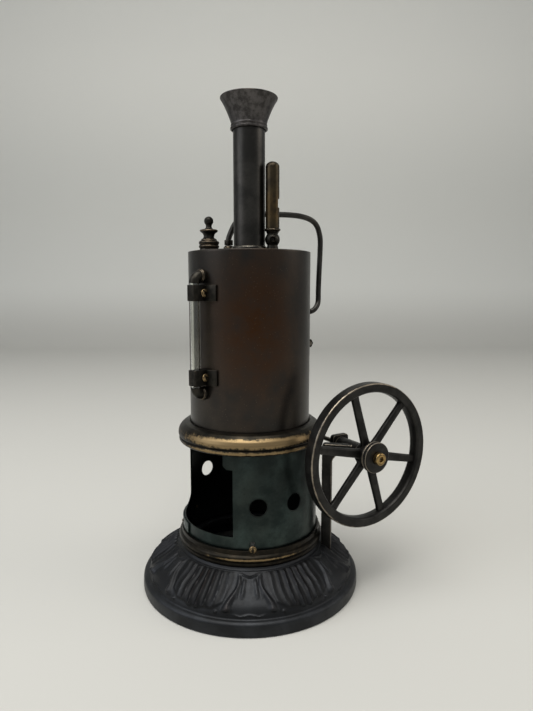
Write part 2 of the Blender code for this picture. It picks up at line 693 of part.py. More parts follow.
def make_safety_valve(cap):
    """The safety valve, whose stem lifts against a spring inside the boiler."""
    frame = make_empty("valve_axis", ENGINE, (VALVE_X, VALVE_Y, 0.0))
    low = FITTING_BOTTOM
    high = low + VALVE_BODY_HEIGHT
    r = VALVE_BODY_RADIUS
    stem = VALVE_STEM_RADIUS
    bore = stem + GAP
    under = low - VALVE_STUB_LENGTH
    drill(cap, VALVE_STUB_RADIUS + GAP, BOILER_TOP - 0.006, low, frame, ROUND_MEDIUM)
    outline = [(bore, high), (r - 0.0006, high), (r, high - 0.0006), (r, high - 0.0020),
               (r - 0.0007, high - 0.0024), (r, high - 0.0029), (r, high - 0.0040),
               (r - 0.0006, high - 0.0044), (r - 0.0002, low), (VALVE_STUB_RADIUS, low),
               (VALVE_STUB_RADIUS, under), (bore, under)]
    turned("safety_valve_body", outline, frame, DARK_BRASS, ROUND_FITTING)

    seat = high + GAP
    top = seat + VALVE_CAP_HEIGHT
    tip = under - VALVE_STEM_LENGTH + VALVE_STUB_LENGTH
    ball = 0.00285
    disc = 0.0057
    neck = 0.0019
    ball_z = top - ball
    outline = [(0.0, top)] + arc((0.0, ball_z), ball, 62.0, -46.0, 5)
    outline += [(neck, ball_z - ball * 1.15), (neck + 0.0006, seat + 0.0072), (disc - 0.0005, seat + 0.0064),
                (disc, seat + 0.0058), (disc - 0.0007, seat + 0.0051), (0.0034, seat + 0.0036),
                (0.0033, seat + 0.0018), (0.0050, seat), (stem, seat), (stem, tip), (0.0, tip)]
    turned("safety_valve_stem", outline, frame, DARK_BRASS, ROUND_FITTING)

    nut_height = 0.002
    nut_top = tip + nut_height + 0.0008
    nut = tube_outline(VALVE_SPRING_RADIUS + 0.0006, bore, nut_top - nut_height, nut_top)
    turned("safety_valve_nut", nut, frame, OLD_BRASS, 6)
    ends = GAP + SPRING_WIRE_RADIUS
    wire("safety_valve_spring", coil_path(VALVE_SPRING_RADIUS, nut_top + ends, under - ends,
                                          VALVE_SPRING_TURNS), SPRING_WIRE_RADIUS, frame, STEEL)


# ---- whistle ----

def make_whistle(cap):
    """The whistle: a cock with its turning plug, and an organ pipe over a languid."""
    # X of this frame points out of the mouth, and +Y to the lever's side.
    frame = make_empty("whistle_axis", ENGINE, (WHISTLE_X, WHISTLE_Y, 0.0),
                       (0.0, 0.0, WHISTLE_AZIMUTH - 90.0))
    low = FITTING_BOTTOM
    ball_z = BOILER_TOP + WHISTLE_BALL_HEIGHT
    ring_top = BOILER_TOP + WHISTLE_RING_HEIGHT
    stub = WHISTLE_STUB_RADIUS
    foot = WHISTLE_BALL_RADIUS * 0.76
    drill(cap, stub + GAP, BOILER_TOP - 0.006, low, frame)
    outline = [(0.0, ring_top), (WHISTLE_RING_RADIUS, ring_top),
               (WHISTLE_RING_RADIUS, ring_top - 0.0012), (0.0040, ring_top - 0.0016),
               (0.0034, ring_top - 0.0026)]
    outline += arc((0.0, ball_z), WHISTLE_BALL_RADIUS, 44.0, -44.0, 4)
    outline += [(foot, low + 0.0022), (foot, low), (stub, low), (stub, low - 0.0045), (0.0, low - 0.0045)]
    cock = turned("whistle_cock", outline, frame, OLD_BRASS, ROUND_FITTING)
    plug_frame = make_empty("whistle_plug_axis", frame, (0.0, 0.0, ball_z), (90.0, 0.0, 0.0))
    drill(cock, WHISTLE_PLUG_RADIUS + RUNNING, -0.01, 0.01, plug_frame, ROUND_FITTING)

    # Z of the plug's frame points to the front, so the lever is at a negative z.
    back = WHISTLE_BALL_RADIUS + GAP * 2
    plug_rod = rod_outline(WHISTLE_PLUG_RADIUS, -back - 0.0002, WHISTLE_BALL_RADIUS * 0.87)
    plug = turned("whistle_lever", plug_rod, plug_frame, DARK_BRASS, ROUND_FITTING)
    width = 0.0026
    length = WHISTLE_LEVER_LENGTH
    outline = arc((0.0, 0.0), width / 2 * 1.3, 150.0, 390.0, 8)
    outline += arc((0.0, length - width * 0.45), width * 0.45, 0.0, 180.0, 5)
    lever_frame = make_empty("whistle_lever_frame", frame, (0.0, back + WHISTLE_LEVER_THICKNESS / 2, ball_z))
    combine(plug, plate("whistle_lever_plate", outline, WHISTLE_LEVER_THICKNESS, lever_frame), "UNION")

    bottom = ring_top + GAP
    top = bottom + WHISTLE_TUBE_LENGTH
    r = WHISTLE_TUBE_RADIUS
    bore = r - WHISTLE_TUBE_WALL
    outline = [(0.0, top)] + arc((0.0, top - r), r, 65.0, 0.0, 3) + [(r, bottom), (bore, bottom)]
    outline += arc((0.0, top - r), bore, 0.0, 65.0, 3) + [(0.0, top - WHISTLE_TUBE_WALL)]
    tube = turned("whistle_tube", outline, frame, OLD_BRASS, ROUND_FITTING)
    mouth = bottom + WHISTLE_MOUTH_HEIGHT
    combine(tube, box("whistle_mouth", (r * 0.45, -r * 0.62, mouth),
                      (r * 1.3, r * 0.62, mouth + WHISTLE_MOUTH_SIZE), frame))
    languid = turned("whistle_languid", rod_outline(bore - GAP, bottom, mouth - GAP), frame, OLD_BRASS,
                     ROUND_FITTING)
    combine(languid, box("whistle_windway", (bore * 0.80, -r, bottom - CUT_MARGIN),
                         (r * 1.3, r, mouth + CUT_MARGIN), frame))


# ---- steam pipe ----

def make_steam_pipe(cap):
    """The pipe from the union on the boiler's top, over and down to the steam block."""
    frame = make_empty("union_axis", ENGINE, (UNION_X, UNION_Y, 0.0))
    low = FITTING_BOTTOM
    high = low + UNION_HEIGHT
    r = UNION_RADIUS
    stub = WHISTLE_STUB_RADIUS
    drill(cap, stub + GAP, BOILER_TOP - 0.006, low, frame)
    outline = [(0.0, high), (r * 0.7, high), (r, high - 0.0012), (r, low + 0.0010), (r * 0.75, low),
               (stub, low), (stub, low - 0.0045), (0.0, low - 0.0045)]
    turned("steam_union", outline, frame, DARK_BRASS, ROUND_FITTING)
    start = high + GAP
    bore = PIPE_RADIUS + GAP
    nut = [(bore, start + PIPE_NUT_LENGTH), (bore + 0.0005, start + PIPE_NUT_LENGTH),
           (PIPE_NUT_RADIUS, start + PIPE_NUT_LENGTH * 0.6), (PIPE_NUT_RADIUS, start + 0.0004),
           (PIPE_NUT_RADIUS - 0.0004, start), (bore, start)]
    turned("steam_union_nut", nut, frame, DARK_BRASS, ROUND_FITTING)

    entry = BLOCK_NEAR_Y - GAP
    # The pipe passes over the boiler's top and down its far side, then bends into the block.
    route = [(UNION_X, UNION_Y, start), (UNION_X + 0.0003, UNION_Y, start + 0.005),
             (0.0014, 0.0187, 0.2300), (0.0088, 0.0157, 0.2342), (SHAFT_X - 0.0218, 0.0094, 0.2350),
             (SHAFT_X - 0.0058, 0.0072, 0.2344), (SHAFT_X + 0.0046, 0.0072, 0.2308),
             (SHAFT_X + 0.0090, 0.0074, 0.2225), (SHAFT_X + 0.0098, 0.0080, 0.2120),
             (SHAFT_X + 0.0096, 0.0085, 0.1990), (SHAFT_X + 0.0092, 0.0086, 0.1860),
             (SHAFT_X + 0.0081, 0.0074, 0.1777), (SHAFT_X + 0.0048, 0.0062, 0.1735),
             (SHAFT_X + 0.0016, 0.0066, PIPE_ENTRY_Z + 0.0002),
             (SHAFT_X, entry - 0.0042, PIPE_ENTRY_Z), (SHAFT_X, entry, PIPE_ENTRY_Z)]
    wire("steam_pipe", smooth_path(route, PIPE_POINT_SPACING), PIPE_RADIUS, ENGINE, OLD_BRASS)
    lower = make_empty("pipe_entry_axis", ENGINE, (SHAFT_X, entry, PIPE_ENTRY_Z), (90.0, 0.0, 0.0))
    turned("steam_pipe_lower_nut", tube_outline(PIPE_NUT_RADIUS, bore, 0.0, PIPE_NUT_LENGTH), lower,
           DARK_BRASS, 6)


# ---- water gauge ----

def make_gauge(shell):
    """The water gauge: a bent glass tube held to the boiler by two clamps and two glands."""
    frame = radial_frame("gauge_axis", GAUGE_AZIMUTH)
    upper = GAUGE_LEVELS["top"] + GAUGE_GLAND_DROP
    lower = GAUGE_LEVELS["bottom"] - GAUGE_GLAND_DROP
    wall = BOILER_RADIUS + GAP
    bend = GAUGE_ELBOW
    corner = GAUGE_OFFSET - bend
    path = [(wall, upper)] + arc((corner, upper - bend), bend, 90.0, 0.0, 5)
    path += arc((corner, lower + bend), bend, 0.0, -90.0, 5) + [(wall, lower)]
    glass = wire("gauge_glass", [Vector((a, 0.0, b)) for a, b in path], GAUGE_GLASS_RADIUS, frame, GLASS,
                 caps=False)
    hollow = glass.modifiers.new("bore", "SOLIDIFY")
    hollow.thickness = GAUGE_GLASS_WALL
    hollow.offset = -1.0

    boiler = turned("gauge_boiler_cut", rod_outline(wall, BOILER_BOTTOM, BOILER_TOP), ENGINE, None,
                    ROUND_FINE)
    half = GAUGE_CLAMP_WIDTH / 2
    glass_bore = GAUGE_GLASS_RADIUS + GAP
    screw_r = GAUGE_SCREW_RADIUS
    head_r = GAUGE_SCREW_HEAD_RADIUS
    for level, z in GAUGE_LEVELS.items():
        low = z - GAUGE_CLAMP_HEIGHT / 2
        high = z + GAUGE_CLAMP_HEIGHT / 2
        clamp = box("gauge_clamp_" + level, (BOILER_RADIUS - 0.001, -half, low),
                    (GAUGE_OFFSET + half, half, high), frame, BLUED_STEEL)
        ear = curved_strip("gauge_ear_" + level, BOILER_RADIUS - 0.0005, low, high, GAUGE_EAR_SPAN,
                           GAUGE_EAR_THICKNESS + 0.0008, frame)
        combine(clamp, ear, "UNION")
        combine(clamp, boiler)
        glass_frame = make_empty("gauge_glass_frame_" + level, frame, (GAUGE_OFFSET, 0.0, z))
        drill(clamp, glass_bore, -GAUGE_CLAMP_HEIGHT, GAUGE_CLAMP_HEIGHT, glass_frame, ROUND_FITTING)
        seat = half + GAP
        screw_frame = make_empty("gauge_screw_frame_" + level, frame, (GAUGE_SCREW_OFFSET, seat, z),
                                 (-90.0, 0.0, 0.0))
        drill(clamp, screw_r + GAP, -GAUGE_CLAMP_WIDTH * 2, CUT_MARGIN, screw_frame)
        drill(clamp, head_r + GAP, -GAP / 2, GAUGE_CLAMP_WIDTH, screw_frame, ROUND_FITTING)
        nut = 0.0016
        slotted_screw("gauge_screw_" + level, head_r, 0.0014, screw_r,
                      seat * 2 + nut + 0.0006, screw_frame, OLD_BRASS)
        turned("gauge_nut_" + level, tube_outline(head_r * 0.95, screw_r + GAP, -seat * 2 - nut, -seat * 2),
               screw_frame, DARK_BRASS, 6)

        gland_z = upper if level == "top" else lower
        gland_frame = outward_frame("gauge_gland_frame_" + level, GAUGE_AZIMUTH, wall, gland_z)
        gland_r = GAUGE_GLAND_RADIUS
        gland = turned("gauge_gland_" + level,
                       [(glass_bore, 0.0026), (gland_r - 0.0006, 0.0026), (gland_r, 0.0018),
                        (gland_r, 0.0004), (gland_r, -0.0012), (glass_bore, -0.0012)], gland_frame,
                       DARK_BRASS, ROUND_FITTING)
        combine(gland, boiler)
        drill(shell, GAUGE_GLASS_RADIUS - GAUGE_GLASS_WALL, -0.006, CUT_MARGIN, gland_frame)


# ---- flywheel and shaft ----

def make_spokes():
    """The spokes as one cutter object: tapered bars from inside the hub to inside the rim."""
    inner = FLYWHEEL_HUB_RADIUS * 0.80
    outer = FLYWHEEL_RADIUS - FLYWHEEL_RIM * 0.6
    middle = FLYWHEEL_FRONT - FLYWHEEL_WIDTH / 2
    builder = bmesh.new()
    for i in range(SPOKE_COUNT):
        spin = Matrix.Rotation(deg(SPOKE_ANGLE + 360.0 * i / SPOKE_COUNT), 4, "Z")
        made = bmesh.ops.create_cube(builder, size=1.0)
        for vertex in made["verts"]:
            far = vertex.co.x > 0
            width = SPOKE_WIDTH_RIM if far else SPOKE_WIDTH_HUB
            place = Vector((outer if far else inner, vertex.co.y * width,
                            middle + vertex.co.z * SPOKE_THICKNESS))
            vertex.co = spin @ place
    mesh = bpy.data.meshes.new("flywheel_spokes")
    builder.to_mesh(mesh)
    builder.free()
    return add_object("flywheel_spokes", mesh, CRANK_AXIS)


def make_flywheel():
    """The cast flywheel, its pulley and end boss, and the crankshaft through them."""
    front = FLYWHEEL_FRONT
    back = front - FLYWHEEL_WIDTH
    r = FLYWHEEL_RADIUS
    inner = r - FLYWHEEL_RIM
    bevel = 0.0007
    rim = [(r - bevel, front), (r, front - bevel), (r, back + bevel), (r - bevel, back),
           (inner + bevel, back), (inner, back + bevel * 1.5), (inner, front - bevel * 1.5),
           (inner + bevel, front)]
    wheel = turned("flywheel", rim, CRANK_AXIS, CAST_IRON, ROUND_LARGE)
    combine(wheel, make_spokes(), "UNION")
    hub_front = front + GAP * 2
    hub_back = back - 0.0006
    hub = turned("flywheel_hub", rod_outline(FLYWHEEL_HUB_RADIUS, hub_back, hub_front), CRANK_AXIS)
    combine(wheel, hub, "UNION")
    bore = SHAFT_RADIUS + GAP
    drill(wheel, bore, hub_back - CUT_MARGIN, hub_front + CUT_MARGIN, CRANK_AXIS)

    low = hub_front + GAP
    high = low + PULLEY_WIDTH
    p = PULLEY_RADIUS
    groove = p - 0.0016
    middle = (low + high) / 2
    turned("drive_pulley", [(bore, high), (p - 0.0008, high), (p, high - 0.0005), (p, high - 0.0010),
                            (groove, middle), (p, low + 0.0010), (p, low + 0.0005), (p - 0.0008, low),
                            (bore, low)], CRANK_AXIS, CAST_IRON)
    boss_low = high + GAP
    boss_high = boss_low + BOSS_LENGTH
    b = BOSS_RADIUS
    turned("shaft_end_boss", [(bore, boss_high), (b - 0.0005, boss_high), (b, boss_high - 0.0005),
                              (b, boss_low), (bore, boss_low)], CRANK_AXIS, OLD_BRASS, ROUND_FITTING)
    disc_y = CRANK_DISC_Y + CRANK_DISC_THICKNESS
    shaft_tip = boss_high - 0.0012
    turned("crankshaft", rod_outline(SHAFT_RADIUS, -disc_y + 0.0002, shaft_tip), CRANK_AXIS, STEEL,
           ROUND_FITTING)

    disc = turned("crank_disc", tube_outline(CRANK_DISC_RADIUS, bore, -disc_y, -CRANK_DISC_Y),
                  CRANK_AXIS, CAST_IRON)
    pin_frame = make_empty("crank_pin_axis", CRANK_AXIS, (0.0, -CRANK_THROW, 0.0))
    drill(disc, CRANK_PIN_RADIUS + GAP, -disc_y - CUT_MARGIN, -CRANK_DISC_Y + CUT_MARGIN, pin_frame)
    turned("crank_pin", rod_outline(CRANK_PIN_RADIUS, -disc_y - CRANK_PIN_REACH, -CRANK_DISC_Y),
           pin_frame, STEEL, ROUND_SMALL)


# ---- bearings ----

def bracket_outline(arm_end):
    """The bracket's side: a column, an arm to the sleeve, and a fillet in the corner under it."""
    inner = COLLAR_BEAD_RADIUS + GAP * 1.3
    outer = inner + COLUMN_WIDTH
    under = ARM_TOP - ARM_HEIGHT
    r = BRACKET_FILLET
    points = [(inner, BASE_SHOULDER_HEIGHT), (outer, BASE_SHOULDER_HEIGHT)]
    points += arc((outer + r, under - r), r, 180.0, 90.0, 5)
    points += [(arm_end, under), (arm_end, ARM_TOP)]
    points += arc((inner + 0.002, ARM_TOP - 0.002), 0.002, 90.0, 180.0, 3)
    return points


def make_front_bearing(base):
    """The cast bracket with its column, arm, bearing sleeve and flange, and its bush and screw."""
    frame = radial_frame("bracket_axis", COLUMN_AZIMUTH)
    arm_end = SHAFT_X / math.sin(deg(COLUMN_AZIMUTH))
    bracket = plate("bearing_bracket", bracket_outline(arm_end), BRACKET_THICKNESS, frame, CAST_IRON)
    sleeve_back = SLEEVE_FRONT - SLEEVE_LENGTH
    sleeve = turned("bracket_sleeve", rod_outline(SLEEVE_RADIUS, sleeve_back, SLEEVE_FRONT), CRANK_AXIS)
    combine(bracket, sleeve, "UNION")
    half = BRACKET_FLANGE_SIZE / 2
    flange_low = sleeve_back - BRACKET_FLANGE_THICKNESS
    r = half * 0.4
    outline = []
    for corner, start in (((1, 1), 0.0), ((-1, 1), 90.0), ((-1, -1), 180.0), ((1, -1), 270.0)):
        centre = (corner[0] * (half - r), corner[1] * (half - r))
        outline += arc(centre, r, start, start + 90.0, 3)
    flange_frame = make_empty("bracket_flange_frame", ENGINE,
                              (SHAFT_X, -(flange_low + sleeve_back) / 2 - GAP, SHAFT_Z))
    flange = plate("bracket_flange", outline, BRACKET_FLANGE_THICKNESS, flange_frame)
    combine(bracket, flange, "UNION")
    seat = turned("bracket_seat_cut", [(0.0, BASE_NECK_HEIGHT + GAP)] + base_top_outline(GAP)
                  + [(BASE_RADIUS, -CUT_MARGIN), (0.0, -CUT_MARGIN)], ENGINE, None, ROUND_LARGE)
    combine(bracket, seat)
    drill(bracket, BUSH_RADIUS + GAP, flange_low - CUT_MARGIN, SLEEVE_FRONT + CUT_MARGIN, CRANK_AXIS,
          ROUND_FITTING)
    turned("bearing_bush", tube_outline(BUSH_RADIUS, BEARING_BORE, flange_low, SLEEVE_FRONT), CRANK_AXIS,
           OLD_BRASS, ROUND_FITTING)

    column = COLLAR_BEAD_RADIUS + GAP * 1.3 + COLUMN_WIDTH / 2
    depth = 0.008
    head_top = BASE_TOP_HEIGHT - BASE_WALL * 2.9
    shank = FOOT_SCREW_RADIUS
    tip = BASE_TOP_HEIGHT + depth
    # Z of this frame points down out of the screw's head.
    screw_frame = make_empty("foot_screw_frame", frame, (column, 0.0, head_top), (180.0, 0.0, 0.0))
    slotted_screw("bracket_foot_screw", shank * 1.9, 0.0014, shank, tip - head_top, screw_frame, STEEL)
    drill(base, shank * 1.9 + GAP, -GAP, 0.02, screw_frame)
    drill(base, shank + GAP, -0.02, 0.01, screw_frame)
    drill(bracket, shank + GAP, head_top - tip - GAP, 0.0, screw_frame)


def make_rear_bearing(sheet):
    """The rear bearing, an arm from a foot that is screwed to the firebox."""
    azimuth = math.degrees(math.atan2(SHAFT_X, -REAR_BEARING_Y))
    frame = radial_frame("rear_bearing_axis", azimuth)
    half = REAR_FOOT_WIDTH / 2
    reach = math.hypot(SHAFT_X, REAR_BEARING_Y)
    outer = FIREBOX_RADIUS + GAP + REAR_FOOT_THICKNESS
    bearing = box("rear_bearing", (FIREBOX_RADIUS - 0.002, -half, REAR_FOOT_BOTTOM),
                  (outer, half, REAR_FOOT_TOP), frame, CAST_IRON)
    arm_half = REAR_ARM_HEIGHT / 2
    arm = box("rear_bearing_arm", (FIREBOX_RADIUS, -arm_half, SHAFT_Z - arm_half),
              (reach, arm_half, SHAFT_Z + arm_half), frame)
    combine(bearing, arm, "UNION")
    back = -REAR_BEARING_Y - REAR_BEARING_LENGTH / 2
    sleeve = turned("rear_bearing_sleeve", rod_outline(REAR_BEARING_RADIUS, back, back + REAR_BEARING_LENGTH),
                    CRANK_AXIS)
    combine(bearing, sleeve, "UNION")
    wall = turned("rear_bearing_wall_cut", rod_outline(FIREBOX_RADIUS + GAP, REAR_FOOT_BOTTOM - 0.005,
                                                       REAR_FOOT_TOP + 0.005), ENGINE, None, ROUND_FINE)
    combine(bearing, wall)
    drill(bearing, BEARING_BORE, back - CUT_MARGIN, back + REAR_BEARING_LENGTH + CUT_MARGIN, CRANK_AXIS,
          ROUND_FITTING)
    shank = REAR_SCREW_RADIUS
    spread = half * 0.62
    seat = outer + GAP
    z = REAR_FOOT_BOTTOM + 0.0032
    for side, sign in (("left", -1.0), ("right", 1.0)):
        place = (seat, sign * spread, z)
        screw_frame = make_empty("rear_screw_frame_" + side, frame, place, (0.0, 90.0, 0.0))
        slotted_screw("rear_bearing_screw_" + side, shank * 2.1, 0.0013, shank,
                      seat - FIREBOX_RADIUS + 0.003, screw_frame, OLD_BRASS)
        drill(bearing, shank + GAP, -0.008, CUT_MARGIN, screw_frame)
        drill(sheet, shank + GAP, -0.008, 0.0, screw_frame)


# ---- cylinder ----

def make_cylinder_bracket():
    """The arm that holds the steam block off the boiler's side."""
    block_low = SHAFT_X - BLOCK_WIDTH / 2 - GAP
    wall = BOILER_RADIUS + GAP
    near = BLOCK_NEAR_Y + 0.001
    far = BLOCK_NEAR_Y + BLOCK_DEPTH - 0.001
    start = math.sqrt(wall ** 2 - far ** 2) - 0.002
    bracket = box("cylinder_bracket", (start, near, BLOCK_BOTTOM + 0.008),
                  (block_low, far, BLOCK_TOP - 0.010), ENGINE, CAST_IRON)
    saddle_azimuth = math.degrees(math.atan2(start, -(near + far) / 2))
    saddle_frame = radial_frame("saddle_frame", saddle_azimuth - 13.0)
    saddle = curved_strip("cylinder_bracket_saddle", BOILER_RADIUS - 0.0005, BLOCK_BOTTOM + 0.002,
                          BLOCK_TOP - 0.004, 26.0, 0.0024, saddle_frame)
    combine(bracket, saddle, "UNION")
    boiler = turned("cylinder_bracket_boiler_cut", rod_outline(wall, BLOCK_BOTTOM - 0.01, BLOCK_TOP + 0.01),
                    ENGINE, None, ROUND_FINE)
    return combine(bracket, boiler)


def make_steam_block():
    """The steam block, bored for the cylinder's pivot and for the pipe."""
    half = BLOCK_WIDTH / 2
    block = box("steam_block", (SHAFT_X - half, BLOCK_NEAR_Y, BLOCK_BOTTOM),
                (SHAFT_X + half, BLOCK_NEAR_Y + BLOCK_DEPTH, BLOCK_TOP), ENGINE, DARK_BRASS)
    drill(block, PIVOT_RADIUS + RUNNING, -0.05, 0.0, PIVOT_AXIS, ROUND_FITTING)
    return block


def make_cylinder():
    """The oscillating cylinder on its pivot, with its cover, gland, pivot spring and nut."""
    frame = CYLINDER_AXIS
    low = CYLINDER_BOTTOM
    high = low + CYLINDER_LENGTH
    barrel = turned("cylinder", rod_outline(CYLINDER_RADIUS, low, high), frame, OLD_BRASS)
    half = PORT_FACE_WIDTH / 2
    face = box("cylinder_port_face", (-half, CYLINDER_FACE_Y - ROD_Y, PIVOT_Z - PORT_FACE_HEIGHT / 2),
               (half, -CYLINDER_RADIUS * 0.4, PIVOT_Z + PORT_FACE_HEIGHT / 2), frame)
    combine(barrel, face, "UNION")
    head = high - CYLINDER_HEAD_CLEARANCE
    drill(barrel, CYLINDER_BORE, low - CUT_MARGIN, head, frame, ROUND_FITTING)
    cover = high + GAP
    turned("cylinder_cover", [(0.0, cover + COVER_THICKNESS * 1.6), (0.0022, cover + COVER_THICKNESS * 1.5),
                              (0.0030, cover + COVER_THICKNESS),
                              (CYLINDER_RADIUS + 0.0002, cover + COVER_THICKNESS),
                              (CYLINDER_RADIUS + 0.0007, cover + COVER_THICKNESS * 0.7),
                              (CYLINDER_RADIUS + 0.0007, cover), (0.0, cover)], frame, DARK_BRASS)
    bore = ROD_RADIUS + GAP
    gland_top = low - GAP
    turned("cylinder_gland", [(bore, gland_top), (CYLINDER_RADIUS, gland_top),
                              (CYLINDER_RADIUS, gland_top - 0.0012), (0.0034, gland_top - 0.0016),
                              (0.0034, gland_top - GLAND_LENGTH), (bore, gland_top - GLAND_LENGTH)],
           frame, DARK_BRASS, ROUND_FITTING)

    # Along the pivot's frame, z is the distance towards -Y from the boiler's axis.
    nut_far = -(BLOCK_NEAR_Y - GAP * 2 - PIVOT_SPRING_LENGTH)
    nut_near = nut_far + PIVOT_NUT_LENGTH
    tip = nut_near + 0.0012
    seat_y = -CYLINDER_FACE_Y - 0.0022
    turned("pivot_pin", rod_outline(PIVOT_RADIUS, seat_y, tip), PIVOT_AXIS, STEEL, ROUND_FITTING)
    drill(barrel, PIVOT_RADIUS + GAP, seat_y - GAP, 0.0, PIVOT_AXIS)
    turned("pivot_nut", tube_outline(PIVOT_NUT_RADIUS, PIVOT_RADIUS + GAP, nut_far, nut_near), PIVOT_AXIS,
           DARK_BRASS, 6)
    ends = GAP + SPRING_WIRE_RADIUS
    wire("pivot_spring", coil_path(PIVOT_RADIUS + 0.0009, -BLOCK_NEAR_Y + ends, nut_far - ends,
                                   PIVOT_SPRING_TURNS), SPRING_WIRE_RADIUS, PIVOT_AXIS, STEEL)


def make_piston():
    """The piston, rod and big end as one piece, at the bottom of the stroke, and its end screw."""
    frame = CYLINDER_AXIS
    piston_low = CYLINDER_BOTTOM + GAP * 3
    piston_high = piston_low + PISTON_LENGTH
    piston = CYLINDER_BORE - GAP
    rod_low = CRANK_PIN_Z + BIG_END_RADIUS * 0.7
    rod = turned("piston_rod", [(0.0, piston_high), (piston, piston_high), (piston, piston_low),
                                (ROD_RADIUS, piston_low), (ROD_RADIUS, rod_low), (0.0, rod_low)],
                 frame, STEEL, ROUND_FITTING)
    big_frame = make_empty("big_end_frame", ENGINE, (SHAFT_X, ROD_Y, CRANK_PIN_Z), (90.0, 0.0, 0.0))
    half = BIG_END_THICKNESS / 2
    boss = turned("piston_big_end", rod_outline(BIG_END_RADIUS, -half, half), big_frame, None, ROUND_FITTING)
    combine(rod, boss, "UNION")
    bore = CRANK_PIN_RADIUS + GAP
    drill(rod, bore, -half - CUT_MARGIN, half + CUT_MARGIN, big_frame)
    head = -half - GAP
    turned("big_end_screw", [(0.0, half), (CRANK_PIN_RADIUS, half), (CRANK_PIN_RADIUS, head),
                             (BIG_END_RADIUS * 0.7, head), (BIG_END_RADIUS * 0.7, head - 0.0009),
                             (0.0, head - 0.0011)], big_frame, OLD_BRASS, ROUND_SMALL)


base_shell = make_base()
firebox_sheet = make_firebox()
make_ring()
boiler_sheet, boiler_cap = make_boiler()
make_chimney()
make_safety_valve(boiler_cap)
make_whistle(boiler_cap)
make_steam_pipe(boiler_cap)
make_gauge(boiler_sheet)
make_flywheel()
make_front_bearing(base_shell)
make_rear_bearing(firebox_sheet)
make_cylinder_bracket()
make_steam_block()
make_cylinder()
make_piston()
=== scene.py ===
"""The looks of a vertical model steam engine of about 1900, built over its fixed CAD frame.

Every size here is in metres unless its name says otherwise. An azimuth is an angle round the
boiler's axis in degrees: 0 faces -Y and 90 faces +X. Every new piece is a grid of points worked
out as whole arrays, its place is in its mesh, and its object sits at the origin.
"""

import logging
import math
from dataclasses import dataclass
from enum import Enum

import bmesh
import bpy
import numpy as np
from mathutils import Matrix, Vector


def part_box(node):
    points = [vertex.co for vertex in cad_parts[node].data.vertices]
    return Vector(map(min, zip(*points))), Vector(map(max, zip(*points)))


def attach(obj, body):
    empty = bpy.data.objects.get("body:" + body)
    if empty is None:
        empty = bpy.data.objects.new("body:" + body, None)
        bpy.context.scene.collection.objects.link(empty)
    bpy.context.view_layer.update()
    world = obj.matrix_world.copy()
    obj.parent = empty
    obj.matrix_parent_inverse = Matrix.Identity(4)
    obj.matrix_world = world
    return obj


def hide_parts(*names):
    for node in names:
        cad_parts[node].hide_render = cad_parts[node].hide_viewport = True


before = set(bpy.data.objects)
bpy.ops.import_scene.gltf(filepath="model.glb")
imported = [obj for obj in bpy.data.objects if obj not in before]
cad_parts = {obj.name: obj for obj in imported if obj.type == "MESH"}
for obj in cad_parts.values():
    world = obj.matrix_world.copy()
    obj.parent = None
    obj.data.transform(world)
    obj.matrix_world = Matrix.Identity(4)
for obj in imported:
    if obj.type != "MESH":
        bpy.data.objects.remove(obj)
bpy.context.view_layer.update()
LOG = logging.getLogger("steam_engine")
MM = 0.001
SMOOTH_ANGLE = math.radians(38.0)


def node_box(node: str) -> tuple[np.ndarray, np.ndarray]:
    """The lowest and highest corner of a CAD node, as arrays."""
    low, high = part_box(node)
    return np.array(low), np.array(high)


def node_middle(node: str) -> np.ndarray:
    """The middle of a CAD node's box."""
    low, high = node_box(node)
    return (low + high) / 2


AXIS = np.array([node_middle("boiler_shell")[0], node_middle("boiler_shell")[1], 0.0])
SHAFT = np.array([*node_middle("crankshaft")[[0]], 0.0, node_middle("crankshaft")[2]])


# ---- local frames and shapes ----

@dataclass(frozen=True)
class Place:
    """A local frame: an origin and three unit axes."""

    origin: np.ndarray
    x: np.ndarray
    y: np.ndarray
    z: np.ndarray

    def at(self, a: np.ndarray, b: np.ndarray, c: np.ndarray) -> np.ndarray:
        """Points at a along x, b along y and c along z, as an array with a last axis of 3."""
        a, b, c = (np.asarray(v, float)[..., None] for v in (a, b, c))
        return self.origin + a * self.x + b * self.y + c * self.z


def upright(origin: np.ndarray, azimuth: float = 90.0) -> Place:
    """A frame with z up, whose x points outwards at an azimuth.

    Args:
        origin: Its origin.
        azimuth: Where x points, in degrees.

    Returns:
        The frame.
    """
    angle = math.radians(azimuth)
    x = np.array([math.sin(angle), -math.cos(angle), 0.0])
    z = np.array([0.0, 0.0, 1.0])
    return Place(np.asarray(origin, float), x, np.cross(z, x), z)


def outward(azimuth: float, radius: float, height: float) -> Place:
    """A frame on the boiler's side whose z points outwards at an azimuth, with y up."""
    flat = upright(AXIS, azimuth)
    origin = AXIS + flat.x * radius + flat.z * height
    return Place(origin, flat.y, flat.z, flat.x)


def forward(origin: np.ndarray) -> Place:
    """A frame whose z points to -Y, with x towards +X and y up."""
    return Place(np.asarray(origin, float), np.array([1.0, 0.0, 0.0]), np.array([0.0, 0.0, 1.0]),
                 np.array([0.0, -1.0, 0.0]))


